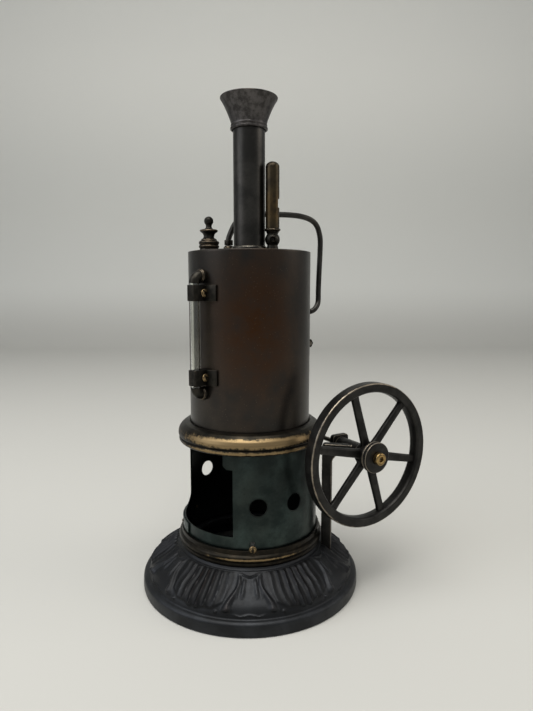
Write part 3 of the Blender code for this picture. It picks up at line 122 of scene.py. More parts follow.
def eased(corners: list, radius: float = 0.3 * MM, steps: int = 3, closed: bool = False) -> np.ndarray:
    """Rounds the corners of an outline, so that each edge catches a line of light.

    A corner c becomes (1-t)^2 a + 2t(1-t) c + t^2 b, where a and b lie on its two sides, radius
    away from it or 45 percent of the side if that is less.

    Args:
        corners: Points (a, b).
        radius: How far from a corner its curve starts.
        steps: Divisions of a curve.
        closed: Whether the last point joins the first.

    Returns:
        The points of the rounded outline.
    """
    c = np.asarray(corners, float)
    before, after = np.roll(c, 1, axis=0), np.roll(c, -1, axis=0)
    if not closed:
        before[0], after[-1] = c[0], c[-1]
    sides = []
    for other in (before, after):
        side = other - c
        length = np.maximum(np.linalg.norm(side, axis=1, keepdims=True), 1e-9)
        sides.append(c + side / length * np.minimum(radius, length * 0.45))
    t = np.linspace(0.0, 1.0, steps + 1)[None, :, None]
    a, b, c = sides[0][:, None], sides[1][:, None], c[:, None]
    return ((1 - t) ** 2 * a + 2 * t * (1 - t) * c + t ** 2 * b).reshape(-1, 2)


def divided(outline: np.ndarray, spacing: float, closed: bool = False) -> np.ndarray:
    """Reads an outline at even steps no longer than spacing on each side, and keeps its points."""
    points = np.vstack([outline, outline[:1]]) if closed else np.asarray(outline, float)
    along = np.concatenate([[0.0], np.cumsum(np.linalg.norm(np.diff(points, axis=0), axis=1))])
    places = np.union1d(np.round(along, 9), np.linspace(0.0, along[-1], max(2, int(along[-1] / spacing))))
    read = np.stack([np.interp(places, along, points[:, i]) for i in (0, 1)], axis=1)
    return read[:-1] if closed else read


def distinct(outline: np.ndarray, closed: bool) -> np.ndarray:
    """An outline without the points that repeat the one before."""
    outline = np.asarray(outline, float)
    step = np.linalg.norm(outline - np.roll(outline, 1, axis=0), axis=1)
    keep = step > 1e-6
    keep[0] = keep[0] or not closed
    return outline[keep]


def polygon(sides: int, radius: float, turn: float = 0.0) -> np.ndarray:
    """The corners of a regular polygon."""
    angles = np.radians(turn + np.arange(sides) * 360.0 / sides)
    return np.stack([radius * np.cos(angles), radius * np.sin(angles)], axis=1)


def ripple(azimuth: np.ndarray, height: np.ndarray, seed: float) -> np.ndarray:
    """A smooth uneven field from -1 to 1: the mean of four sines whose waves cross each other."""
    a = np.radians(azimuth)
    waves = [(3, 41.0, 0.3), (5, -67.0, 1.1), (9, 113.0, 2.3), (14, -171.0, 4.1)]
    return sum(np.sin(n * a + k * height + p * seed) for n, k, p in waves) / len(waves)


# ---- meshes ----

def make_object(name: str, points: np.ndarray, faces: list, marks: dict | None = None,
                repair: bool = True) -> bpy.types.Object:
    """Makes a mesh object at the origin, with its doubles merged and its faces outward.

    Args:
        name: The object's name.
        points: Points, in an array with a last axis of 3.
        faces: Faces as rows of point numbers.
        marks: Arrays by attribute name, one number a point: rub, soot, warm or trace.
        repair: Whether the mesh is closed, so that its normals are worked out again.

    Returns:
        The object.
    """
    mesh = bpy.data.meshes.new(name)
    mesh.from_pydata(points.reshape(-1, 3).tolist(), [], faces)
    for mark, values in (marks or {}).items():
        attribute = mesh.attributes.new(mark, "FLOAT", "POINT")
        shaped = np.broadcast_to(values, points.shape[:-1]).astype(np.float32)
        attribute.data.foreach_set("value", shaped.ravel())
    builder = bmesh.new()
    builder.from_mesh(mesh)
    bmesh.ops.remove_doubles(builder, verts=builder.verts, dist=2e-7)
    if repair:
        bmesh.ops.recalc_face_normals(builder, faces=builder.faces)
    builder.to_mesh(mesh)
    builder.free()
    mesh.shade_smooth()
    mesh.set_sharp_from_angle(angle=SMOOTH_ANGLE)
    obj = bpy.data.objects.new(name, mesh)
    bpy.context.scene.collection.objects.link(obj)
    return obj


def grid_faces(rows: int, columns: int, close_rows: bool, close_columns: bool) -> np.ndarray:
    """The four-sided faces of a grid of points, whose rows or columns may join up."""
    index = np.arange(rows * columns).reshape(rows, columns)
    if close_rows:
        index = np.vstack([index, index[:1]])
    if close_columns:
        index = np.hstack([index, index[:, :1]])
    return np.stack([index[:-1, :-1], index[1:, :-1], index[1:, 1:], index[:-1, 1:]], -1).reshape(-1, 4)


def turned(name: str, outline: np.ndarray, place: Place, steps: int = 96, marks: dict | None = None,
           uneven: float = 0.0) -> bpy.types.Object:
    """Turns an outline round the frame's z: the point (r, h) goes to (r cos t, r sin t, h).

    Args:
        name: The object's name.
        outline: Points (radius, height). One that misses the axis is closed on itself.
        place: The frame.
        steps: Divisions of the turn.
        marks: Arrays by attribute name, a number for each point of the outline, or a row over the turn.
        uneven: How far the surface wanders in and out, as hammered or dented sheet does.

    Returns:
        The object.
    """
    outline = np.asarray(outline, float)
    turn = np.linspace(0.0, 2 * math.pi, steps, endpoint=False)[None, :]
    radius, height = outline[:, :1], outline[:, 1:]
    if uneven:
        radius = radius * (1 + uneven * ripple(np.degrees(turn), height, 1.7))
    points = place.at(radius * np.cos(turn), radius * np.sin(turn), height + 0 * turn)
    closed = outline[0, 0] > 1e-6 or outline[-1, 0] > 1e-6
    faces = grid_faces(len(outline), steps, closed, True).tolist()
    trace = np.concatenate([[0.0], np.cumsum(np.linalg.norm(np.diff(outline, axis=0), axis=1))])
    fields = {"trace": trace[:, None] / MM, "rub": edge_rub(outline, closed)[:, None]}
    for key, value in (marks or {}).items():
        value = np.asarray(value, float)
        fields[key] = value if value.ndim == 2 else value[:, None]
    return make_object(name, points, faces, fields)


def edge_rub(outline: np.ndarray, closed: bool) -> np.ndarray:
    """How much each point of an outline is rubbed: its turn over its length, where it bulges outwards.

    The turn is the angle between a point's two sides, taken with its sign, and it is spread a
    little to both sides.
    """
    before = np.roll(outline, 1, axis=0)
    after = np.roll(outline, -1, axis=0)
    a, b = outline - before, after - outline
    turn = np.arctan2(a[:, 0] * b[:, 1] - a[:, 1] * b[:, 0], (a * b).sum(1))
    turn = np.clip(-turn, 0.0, 1.0) * 2.0
    if not closed:
        turn[[0, -1]] = 0.0
    return np.clip(np.convolve(np.pad(turn, 1, mode="wrap"), [0.5, 1.0, 0.5], mode="valid"), 0.0, 1.0)


def prism(name: str, outline: np.ndarray, place: Place, low: float, high: float,
          edge: float = 0.25 * MM) -> bpy.types.Object:
    """Carries a closed outline along the frame's z, with its two rims rounded.

    Each ring is the outline moved inwards along its normals by e(1 - cos q), at the height
    low + e(1 - sin q), with q from a right angle to nothing, and the same at the top.

    Args:
        name: The object's name.
        outline: Points (x, y), counterclockwise.
        place: The frame.
        low: Height of the bottom.
        high: Height of the top.
        edge: Radius of the rims.

    Returns:
        The object.
    """
    outline = distinct(outline, True)
    side = np.roll(outline, -1, axis=0) - outline
    normal = np.stack([side[:, 1], -side[:, 0]], 1)
    normal = normal / np.maximum(np.linalg.norm(normal, axis=1, keepdims=True), 1e-9)
    normal = normal + np.roll(normal, 1, axis=0)
    normal = normal / np.maximum(np.linalg.norm(normal, axis=1, keepdims=True), 1e-9)
    q = np.linspace(0.0, math.pi / 2, 4)
    inset = np.concatenate([edge * (1 - np.sin(q)), edge * (1 - np.cos(q))])
    height = np.concatenate([low + edge * (1 - np.cos(q)), high - edge * (1 - np.sin(q))])
    rings = outline[None] - inset[:, None, None] * normal[None]
    points = place.at(rings[..., 0], rings[..., 1], height[:, None] + 0 * rings[..., 0])
    count = len(outline)
    faces = grid_faces(len(height), count, False, True).tolist()
    faces += [list(range(count)), list(range((len(height) - 1) * count, len(height) * count))]
    rub = np.clip(inset / edge, 0.0, 1.0)
    rub = (1 - np.abs(rub * 2 - 1))[:, None] + 0 * rings[..., 0]
    return make_object(name, points, faces, {"rub": rub, "trace": height[:, None] / MM})


def swept(name: str, path: np.ndarray, section: np.ndarray, guide: np.ndarray, closed_ends: bool = True,
          scale: np.ndarray | None = None) -> bpy.types.Object:
    """Carries a closed section along a path: each point is p + a N + b B.

    N is the guide direction with its part along the path taken away, and B is the cross product
    of the path's direction and N.

    Args:
        name: The object's name.
        path: Points along the path.
        section: Points (a, b).
        guide: A direction that the path never runs along.
        closed_ends: Whether the ends have caps.
        scale: The section's size at each point of the path.

    Returns:
        The object.
    """
    tangent = np.gradient(path, axis=0)
    tangent /= np.linalg.norm(tangent, axis=1, keepdims=True)
    first = guide - (tangent @ guide)[:, None] * tangent
    first /= np.linalg.norm(first, axis=1, keepdims=True)
    second = np.cross(tangent, first)
    size = np.ones(len(path)) if scale is None else scale
    a, b = section[:, 0][None, :, None], section[:, 1][None, :, None]
    points = path[:, None] + (a * first[:, None] + b * second[:, None]) * size[:, None, None]
    count = len(section)
    faces = grid_faces(len(path), count, False, True).tolist()
    if closed_ends:
        faces += [list(range(count)), list(range((len(path) - 1) * count, len(path) * count))]
    along = np.concatenate([[0.0], np.cumsum(np.linalg.norm(np.diff(path, axis=0), axis=1))])
    return make_object(name, points, faces, {"trace": along[:, None] / MM})


def curve_through(points: np.ndarray, spacing: float) -> np.ndarray:
    """A smooth path through points: the cubic of Catmull and Rom, read at even steps."""
    p = np.vstack([2 * points[0] - points[1], points, 2 * points[-1] - points[-2]])
    t = np.linspace(0.0, 1.0, 8, endpoint=False)[None, :, None]
    p0, p1, p2, p3 = (p[i:len(p) - 3 + i][:, None] for i in range(4))
    dense = 0.5 * (2 * p1 + (p2 - p0) * t + (2 * p0 - 5 * p1 + 4 * p2 - p3) * t ** 2
                   + (3 * p1 - p0 - 3 * p2 + p3) * t ** 3)
    dense = np.vstack([dense.reshape(-1, 3), points[-1:]])
    along = np.concatenate([[0.0], np.cumsum(np.linalg.norm(np.diff(dense, axis=0), axis=1))])
    places = np.linspace(0.0, along[-1], max(2, int(along[-1] / spacing)))
    return np.stack([np.interp(places, along, dense[:, i]) for i in range(3)], axis=1)


def cut(obj: bpy.types.Object, cutters: list, operation: str = "DIFFERENCE") -> bpy.types.Object:
    """Cuts other objects out of this one for good, and removes them.

    Args:
        obj: The object to cut.
        cutters: The objects that it is cut with.
        operation: DIFFERENCE, or UNION to join them.

    Returns:
        The same object, with its new mesh.
    """
    for part in (obj, *cutters):
        builder = bmesh.new()
        builder.from_mesh(part.data)
        bmesh.ops.triangulate(builder, faces=[face for face in builder.faces if len(face.verts) > 4])
        builder.to_mesh(part.data)
        builder.free()
    for cutter in cutters:
        tool = obj.modifiers.new("cut", "BOOLEAN")
        tool.operation = operation
        tool.object = cutter
    bpy.context.view_layer.update()
    ready = obj.evaluated_get(bpy.context.evaluated_depsgraph_get())
    mesh = bpy.data.meshes.new_from_object(ready)
    obj.modifiers.clear()
    obj.data = mesh
    for cutter in cutters:
        bpy.data.objects.remove(cutter, do_unlink=True)
    mesh.shade_smooth()
    mesh.set_sharp_from_angle(angle=SMOOTH_ANGLE)
    return obj


# ---- finishes ----

def tone(code: str) -> tuple[float, float, float, float]:
    """An sRGB hex colour as linear numbers: ((c + 0.055) / 1.055) ^ 2.4, or c / 12.92 when dark."""
    parts = [int(code[i:i + 2], 16) / 255.0 for i in (1, 3, 5)]
    linear = [c / 12.92 if c <= 0.04045 else ((c + 0.055) / 1.055) ** 2.4 for c in parts]
    return (*linear, 1.0)


def add_node(tree: bpy.types.NodeTree, kind: str, inputs: dict | None = None,
             **settings: object) -> bpy.types.Node:
    """Adds one node to a material.

    Args:
        tree: The material's node tree.
        kind: The node's type name.
        inputs: Numbers, colours or output sockets by input name or number.
        settings: The node's own settings.

    Returns:
        The node.
    """
    node = tree.nodes.new(kind)
    for key, value in settings.items():
        setattr(node, key, value)
    for key, value in (inputs or {}).items():
        if isinstance(value, bpy.types.NodeSocket):
            tree.links.new(value, node.inputs[key])
        else:
            node.inputs[key].default_value = value
    return node


@dataclass(frozen=True)
class OldMetal:
    """Metal with a skin of age: blotches of two tones, grime that in the base's flutes is painted shade, and
    rubbed places that on the base, the collar and the ring also carry a painted highlight.

    The blotches, specks and grain are noise on Object coordinates, each with its size in
    millimetres. The lathe's lines follow the trace attribute, the distance along the outline.
    """

    name: str
    dark: str
    light: str
    warm: str
    rubbed: str
    # The soot tone also serves as the painted shade in the base's flutes.
    soot: str = "#0b0b0c"
    metallic: float = 1.0
    roughness: float = 0.4
    rubbed_roughness: float = 0.3
    blotch_mm: float = 9.0
    grain_mm: float = 0.35
    grain_depth_mm: float = 0.012
    line_mm: float = 0.0
    line_depth_mm: float = 0.01
    wear: float = 0.45
    specks: float = 0.0
    speck_tone: str = "#8d7c69"

    def make(self) -> bpy.types.Material:
        """Builds the material."""
        material = bpy.data.materials.new(self.name)
        material.use_nodes = True
        tree = material.node_tree
        tree.nodes.clear()
        coords = add_node(tree, "ShaderNodeTexCoord").outputs["Object"]
        field, mark, part = {}, {}, {}
        for name, size_mm, detail in (("broad", self.blotch_mm, 4.0), ("fine", self.grain_mm * 4, 3.0),
                                      ("grain", self.grain_mm, 2.0)):
            settings = {"Vector": coords, "Scale": 1.0 / (size_mm * MM), "Detail": detail, "Roughness": 0.6}
            field[name] = add_node(tree, "ShaderNodeTexNoise", settings).outputs["Fac"]
        for name in ("warm", "rub", "soot", "trace"):
            mark[name] = add_node(tree, "ShaderNodeAttribute", attribute_name=name).outputs["Fac"]
        broad, fine = field["broad"], field["fine"]

        # Wear is rub + 0.75 broad + 0.65 fine; the rub of the base, the collar and the ring also holds a
        # painted highlight. Each range below is then brought to 0 to 1.
        part["rubbed"] = mark["rub"]
        for name, source, share, before in (("worn_broad", broad, 0.75, "rubbed"),
                                            ("worn_sum", fine, 0.65, "worn_broad")):
            share = add_node(tree, "ShaderNodeMath", {0: source, 1: share}, operation="MULTIPLY").outputs[0]
            part[name] = add_node(tree, "ShaderNodeMath", {0: part[before], 1: share},
                                  operation="ADD").outputs[0]
        for name, source, low, high in (("blotch", broad, 0.34, 0.66), ("warm_patch", broad, 0.25, 0.6),
                                        ("dusk", fine, 0.5, 0.75), ("soot_patch", broad, 0.2, 0.5),
                                        ("wear_and_highlight", part["worn_sum"], 1.62 - self.wear, 1.95 - self.wear)):
            settings = {"Value": source, "From Min": low, "From Max": high}
            part[name] = add_node(tree, "ShaderNodeMapRange", settings,
                                  interpolation_type="SMOOTHSTEP").outputs[0]
        for name, first, second in (("warmth", mark["warm"], part["warm_patch"]),
                                    ("mottle", part["dusk"], 0.35),
                                    ("grime_and_shade", mark["soot"], part["soot_patch"])):
            settings = {0: first, 1: second}
            part[name] = add_node(tree, "ShaderNodeMath", settings, operation="MULTIPLY").outputs[0]
        if self.specks:
            spot = add_node(tree, "ShaderNodeTexVoronoi", {"Vector": coords, "Scale": 1.0 / (1.9 * MM)})
            settings = {"Value": spot.outputs["Distance"], "From Min": 0.13, "From Max": 0.05}
            small = add_node(tree, "ShaderNodeMapRange", settings, interpolation_type="SMOOTHSTEP").outputs[0]
            part["speck"] = add_node(tree, "ShaderNodeMath", {0: small, 1: self.specks},
                                     operation="MULTIPLY").outputs[0]

        # The skin's layers, from the bare skin up to the soot: the warmth holds the drum's painted sheen, the
        # rubbed layer the painted highlights of the base, the collar and the ring, and the soot the painted
        # shade in the base's flutes.
        colour: object = tone(self.dark)
        layers = [("blotch", self.light), ("warmth", self.warm), ("mottle", self.dark)]
        layers += [("speck", self.speck_tone)] if self.specks else []
        for name, code in layers + [("wear_and_highlight", self.rubbed), ("grime_and_shade", self.soot)]:
            colour = add_node(tree, "ShaderNodeMix", {0: part[name], 6: colour, 7: tone(code)},
                              data_type="RGBA").outputs[2]
        settings = {"Value": fine, "To Min": self.roughness * 0.82, "To Max": min(1.0, self.roughness * 1.25)}
        rough = add_node(tree, "ShaderNodeMapRange", settings).outputs[0]
        settings = {0: part["wear_and_highlight"], 2: rough, 3: self.rubbed_roughness}
        rough = add_node(tree, "ShaderNodeMix", settings).outputs[0]
        bump = add_node(tree, "ShaderNodeBump", {"Height": field["grain"], "Strength": 1.0,
                                                 "Distance": self.grain_depth_mm * MM})
        if self.line_mm:
            settings = {"W": mark["trace"], "Scale": 1.0 / self.line_mm, "Detail": 2.0}
            line = add_node(tree, "ShaderNodeTexNoise", settings, noise_dimensions="1D")
            bump = add_node(tree, "ShaderNodeBump", {"Height": line.outputs["Fac"], "Strength": 1.0,
                                                     "Distance": self.line_depth_mm * MM,
                                                     "Normal": bump.outputs[0]})
        shader = add_node(tree, "ShaderNodeBsdfPrincipled", {
            "Base Color": colour, "Metallic": self.metallic, "Roughness": rough, "Normal": bump.outputs[0]})
        add_node(tree, "ShaderNodeOutputMaterial", {"Surface": shader.outputs[0]})
        return material


@dataclass(frozen=True)
class ClearGlass:
    """Drawn soda glass, clear and slightly green: bright where it bends light at its sides."""

    name: str = "drawn_gauge_glass"
    colour: str = "#f3f4ee"
    roughness: float = 0.04

    def make(self) -> bpy.types.Material:
        """Builds the material."""
        material = bpy.data.materials.new(self.name)
        material.use_nodes = True
        tree = material.node_tree
        tree.nodes.clear()
        shader = add_node(tree, "ShaderNodeBsdfPrincipled", {
            "Base Color": tone(self.colour), "Roughness": self.roughness, "IOR": 1.5,
            "Transmission Weight": 1.0})
        add_node(tree, "ShaderNodeOutputMaterial", {"Surface": shader.outputs[0]})
        return material


@dataclass(frozen=True)
class StudioPaper:
    """Matt seamless paper, pale grey, with light and shade painted into its tone: darker on the floor,
    lighter up the wall and lightest at its top.
    """

    name: str = "seamless_paper"
    floor: str = "#c1c0bb"
    wall: str = "#dcdcd7"
    top: str = "#f0efe9"

    def make(self) -> bpy.types.Material:
        """Builds the material."""
        material = bpy.data.materials.new(self.name)
        material.use_nodes = True
        tree = material.node_tree
        tree.nodes.clear()
        coords = add_node(tree, "ShaderNodeTexCoord").outputs["Object"]
        height = add_node(tree, "ShaderNodeSeparateXYZ", {0: coords}).outputs["Z"]
        # The floor, wall and top tones are painted light and shade on one pale paper.
        colour: object = tone(self.floor)
        for low, high, code in ((0.0, 0.2, self.wall), (0.5, 1.0, self.top)):
            settings = {"Value": height, "From Min": low, "From Max": high}
            share = add_node(tree, "ShaderNodeMapRange", settings, interpolation_type="SMOOTHSTEP").outputs[0]
            colour = add_node(tree, "ShaderNodeMix", {0: share, 6: colour, 7: tone(code)},
                              data_type="RGBA").outputs[2]
        shader = add_node(tree, "ShaderNodeBsdfPrincipled", {"Base Color": colour, "Roughness": 0.9})
        add_node(tree, "ShaderNodeOutputMaterial", {"Surface": shader.outputs[0]})
        return material


class Finish(Enum):
    """The finishes of the engine's pieces."""

    # Sand-cast grey iron, japanned black and then copper-bronzed: a dull blue-black skin that
    # is worn to a red-brown bronze on the ridges of the relief, with a painted highlight on the
    # ridges that face the main light.
    JAPANNED_IRON = OldMetal("japanned_cast_iron", "#202123", "#2d2f32", "#3a2c26", "#8f5c3b", metallic=0.75,
                             roughness=0.46, rubbed_roughness=0.36, blotch_mm=16.0, grain_mm=0.6,
                             grain_depth_mm=0.03, wear=0.33)
    # Cast iron of the flywheel, painted thinly and oxidised: brown-black, with a bright worn rim.
    WHEEL_IRON = OldMetal("oxidised_cast_iron", "#222120", "#31302e", "#4a3f36", "#8a8072", metallic=0.85,
                          roughness=0.42, rubbed_roughness=0.3, blotch_mm=7.0, grain_mm=0.5,
                          grain_depth_mm=0.03, wear=0.42)
    # Rolled sheet steel, heat-blued: green-grey with darker streaks, smooth and slightly glossy.
    BLUED_STEEL = OldMetal("heat_blued_steel", "#1f2827", "#3a4745", "#34352f", "#6d6f68", metallic=0.9,
                           roughness=0.36, rubbed_roughness=0.32, blotch_mm=14.0, grain_mm=0.3,
                           grain_depth_mm=0.004, wear=0.25)
    # Drawn copper, chemically browned and lacquered: a deep brown with pale specks, and a red tone that the
    # drum carries as a painted sheen on the side facing the camera.
    BROWNED_COPPER = OldMetal("browned_copper", "#343331", "#42403c", "#452d1c", "#6d5b49", metallic=0.95,
                              roughness=0.33, rubbed_roughness=0.3, blotch_mm=26.0, grain_mm=0.3,
                              grain_depth_mm=0.003, wear=0.18, specks=0.3)
    # Turned brass under a dark patina, polished by hands on its bands: gold against brown.
    PATINATED_BRASS = OldMetal("patinated_brass", "#352f27", "#4a4132", "#6b5534", "#a98d5c", metallic=1.0,
                               roughness=0.4, rubbed_roughness=0.28, blotch_mm=8.0, grain_mm=0.3,
                               grain_depth_mm=0.006, line_mm=0.35, line_depth_mm=0.006, wear=0.5)
    # Turned brass of the chimney, bronzed grey-brown, with the lathe's fine lines still in it.
    BRONZED_BRASS = OldMetal("bronzed_brass", "#343331", "#454340", "#514a40", "#7b7365", metallic=1.0,
                             roughness=0.38, rubbed_roughness=0.3, blotch_mm=12.0, grain_mm=0.3,
                             grain_depth_mm=0.005, line_mm=0.45, line_depth_mm=0.012, wear=0.3)
    # Spun brass of the bell, oxidised by smoke: a pale, cool grey-brown with small dull mottles.
    SMOKED_BRASS = OldMetal("smoked_brass", "#3b3938", "#5b5857", "#5c534c", "#857d74", metallic=1.0,
                            roughness=0.42, rubbed_roughness=0.34, blotch_mm=4.0, grain_mm=0.4,
                            grain_depth_mm=0.008, line_mm=0.5, line_depth_mm=0.008, wear=0.4)
    # Turned iron fittings with an oiled black oxide: nearly black, with soft highlights.
    BLACK_FITTING = OldMetal("black_oxide_fittings", "#23221f", "#34312c", "#4a3f31", "#65594a",
                             metallic=0.95, roughness=0.4, rubbed_roughness=0.3, blotch_mm=3.0, grain_mm=0.25,
                             grain_depth_mm=0.008, line_mm=0.3, line_depth_mm=0.005, wear=0.3)
    # Turned brass blacked with age and rubbed through on its bands: dark, with patches of gold, which on the
    # collar and the ring are partly a painted highlight on the side facing the camera.
    BLACKED_BRASS = OldMetal("blacked_brass", "#24221e", "#37322a", "#5c4a2f", "#8f7a59", metallic=1.0,
                             roughness=0.4, rubbed_roughness=0.46, blotch_mm=5.0, grain_mm=0.35,
                             grain_depth_mm=0.012, line_mm=0.4, line_depth_mm=0.006, wear=0.6)
    # Bright drawn steel, tarnished grey: the shaft, the rods and the springs.
    DRAWN_STEEL = OldMetal("tarnished_steel", "#5b5750", "#78736a", "#7a6a55", "#9b958a", metallic=1.0,
                           roughness=0.34, rubbed_roughness=0.25, blotch_mm=4.0, grain_mm=0.2,
                           grain_depth_mm=0.004, wear=0.3)
    # Sheet inside the firebox, burnt and sooted: black and dull.
    BURNT_SHEET = OldMetal("burnt_sheet", "#0d0f10", "#191c1c", "#1f2322", "#2a2f2e", metallic=0.3,
                           roughness=0.7, rubbed_roughness=0.6, wear=0.1)
    GLASS = ClearGlass()
    PAPER = StudioPaper()


MADE: dict[Finish, bpy.types.Material] = {}


def dress(obj: bpy.types.Object, finish: Finish) -> bpy.types.Object:
    """Gives an object its finish."""
    if finish not in MADE:
        MADE[finish] = finish.value.make()
    obj.data.materials.clear()
    obj.data.materials.append(MADE[finish])
    return obj


def settle(obj: bpy.types.Object, finish: Finish, *nodes: str, body: str = "engine") -> bpy.types.Object:
    """Dresses a new piece, lets it ride on its body and stand for its CAD nodes, and reports it.

    Args:
        obj: The piece.
        finish: Its finish.
        nodes: The CAD nodes that it stands for.
        body: The CAD body that it rides on.

    Returns:
        The piece.
    """
    dress(obj, finish)
    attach(obj, body)
    if nodes:
        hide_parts(*nodes)
    LOG.info("%s: %d faces on %s", obj.name, len(obj.data.polygons), body)
    return obj


# ---- base ----

@dataclass(frozen=True)
class Base:
    """The cast base with its acanthus relief, and the turned collar on its neck."""

    fans: int = 6
    fan_half: float = 19.5          # half the angle of a fan of leaves, in degrees
    ribs: float = 4.0               # ribs on each half of a fan
    rib_height: float = 2.05 * MM
    leaf_step: float = 0.45 * MM    # from a leaf's lower edge down to the ground
    steps: int = 800
    neck_radius: float = 45.0 * MM
    ridge: tuple = (47.0 * MM, 26.0 * MM)

    def skirt(self) -> np.ndarray:
        """The outer side without its relief, from the ridge under the collar to the shoulder."""
        outline = [self.ridge, (49.3, 24.2), (53.0, 21.3), (58.0, 18.0), (62.2, 14.4), (64.6, 10.8),
                   (65.4, 8.7)]
        points = np.array([outline[0]] + [(a * MM, b * MM) for a, b in outline[1:]])
        path = curve_through(np.column_stack([points, np.zeros(len(points))]), 0.42 * MM)
        return path[:, :2]

    def relief(self, azimuth: np.ndarray, down: np.ndarray) -> tuple[np.ndarray, np.ndarray, np.ndarray]:
        """The height of the relief above its ground, with wear and a painted highlight on its crests, and
        painted shade in its flutes.

        A fan's ribs are (1 - |2 f - 1|)^2.2, where f is the fraction of ribs u and u runs from -1
        to 1 over the fan, which narrows on its way down and sways as a sine: round flutes
        between sharp crests. They rise quickly under
        the neck and end on a scalloped edge. A curled lobe stands at each side of the fan, and
        the gap between two fans has a swag, short petals and a double scallop.

        Args:
            azimuth: Azimuths in degrees.
            down: How far down the skirt each point is, from 0 to 1.

        Returns:
            Heights in metres, how far its crests are rubbed and lit by a painted highlight, and how dark its
            flutes are painted as shade over a little grime.
        """
        pitch = 360.0 / self.fans
        local = (azimuth + pitch / 2) % pitch - pitch / 2
        side = np.sign(local)
        widen = 1.02 - 0.20 * down + 0.04 * np.sin(2 * math.pi * down)
        u = np.abs(local) / (self.fan_half * widen)
        sway = u + 0.045 * np.sin(2 * math.pi * down + 0.6) * (0.4 + u)
        groove = (1.0 - np.abs(2.0 * ((self.ribs * sway) % 1.0) - 1.0)) ** 2.2
        crest = 0.55 + 0.45 * np.cos(math.pi * np.clip(u, 0, 1) * 0.9)
        top = np.clip(down / 0.10, 0, 1) ** 0.6
        edge = 0.86 + 0.045 * np.abs(np.sin(2.0 * math.pi * sway + 0.8)) - 0.16 * u ** 2
        inside = 1.0 / (1.0 + np.exp((down - edge) / 0.008))
        within = 1.0 / (1.0 + np.exp((u - 0.97) / 0.02))
        fade = 1.0 - 0.30 * down
        fan = within * inside * top * (self.leaf_step + self.rib_height * groove * fade * crest)

        lobe_at = 1.13 + 0.07 * np.sin(math.pi * down * 1.3)
        width = 0.055 + 0.060 * np.clip((down - 0.40) / 0.45, 0, 1)
        lobe = np.exp(-np.abs((u - lobe_at) / width) ** 2.6) / (1.0 + np.exp((down - 0.88) / 0.012))
        lobe = lobe * np.clip((down - 0.03) / 0.15, 0, 1) * (1.0 * MM + 0.7 * MM * down)
        curl = np.exp(-(((u - 1.20) / 0.085) ** 2 + ((down - 0.83) / 0.05) ** 2)) * 0.9 * MM
        pearl = np.exp(-(((u - 0.80) / 0.045) ** 2 + ((down - 0.90) / 0.030) ** 2) ** 2) * 1.0 * MM

        gap = np.abs(np.abs(local) - pitch / 2)
        swag_at = 0.075 + 0.045 * np.cos(math.pi * np.clip(gap / 8.0, 0, 1))
        swag = np.exp(-((down - swag_at) / 0.022) ** 2) * np.clip(1.3 - gap / 7.0, 0, 1) * 0.8 * MM
        petal_at = 3.0 + 2.2 * down
        petal = np.exp(-((gap - petal_at) / 1.15) ** 2) + np.exp(-((gap - petal_at - 3.3) / 1.0) ** 2)
        petal = petal * np.clip((down - 0.12) / 0.1, 0, 1) * np.clip((0.62 - down) / 0.12, 0, 1) * 0.85 * MM
        boss = np.exp(-((gap / 3.0) ** 2 + ((down - 0.30) / 0.12) ** 2)) * 0.7 * MM
        scallop_at = 0.955 - 0.035 * np.abs(np.cos(math.pi * np.clip(gap / 9.0, 0, 1)))
        scallop = np.exp(-((down - scallop_at) / 0.016) ** 2) * np.clip(1.6 - gap / 6.0, 0, 1) * 0.55 * MM
        height = np.maximum.reduce([fan, lobe, petal]) + curl + pearl + swag + boss + scallop
        height = height * np.clip((1.0 - down) / 0.04, 0, 1)

        # The rub is worn bronze on the crests and also a painted highlight: it grows with the height of the
        # relief and is strongest on the side towards the main light.
        front = np.exp(-(((azimuth + 45.0) / 30.0) ** 2)) + 0.35
        raised = np.clip(height / (self.leaf_step + self.rib_height), 0, 1.2)
        patch = 0.5 + 0.5 * np.sin(np.radians(azimuth) * 23 + down * 7) * np.sin(down * 9 + side)
        rub = np.clip(raised ** 3 * front * (0.25 + 0.75 * patch) * np.clip(1.2 - down, 0, 1), 0, 1)
        # The flutes are darkened as painted shade, over a little even grime.
        flute = within * inside * (1.0 - groove) ** 2
        grime_and_shade = np.clip(0.20 + 0.60 * flute + 0.2 * np.clip(1.0 - height / (0.8 * MM), 0, 1), 0, 1)
        return height, rub, grime_and_shade

    def cast_shell(self) -> bpy.types.Object:
        """The shell: relief on the skirt, a smooth rim, and a hollow underside with a foot ring."""
        skirt = self.skirt()
        along = np.linalg.norm(np.diff(skirt, axis=0), axis=1)
        down = np.concatenate([[0.0], np.cumsum(along)]) / along.sum()
        azimuth = np.linspace(-180.0, 180.0, self.steps, endpoint=False)[None, :]
        height, rub, grime_and_shade = self.relief(azimuth, down[:, None])
        tangent = np.gradient(skirt, axis=0)
        normal = np.stack([-tangent[:, 1], tangent[:, 0]], 1)
        normal /= np.linalg.norm(normal, axis=1, keepdims=True)
        radius = skirt[:, :1] + normal[:, :1] * height
        level = skirt[:, 1:] + normal[:, 1:] * height

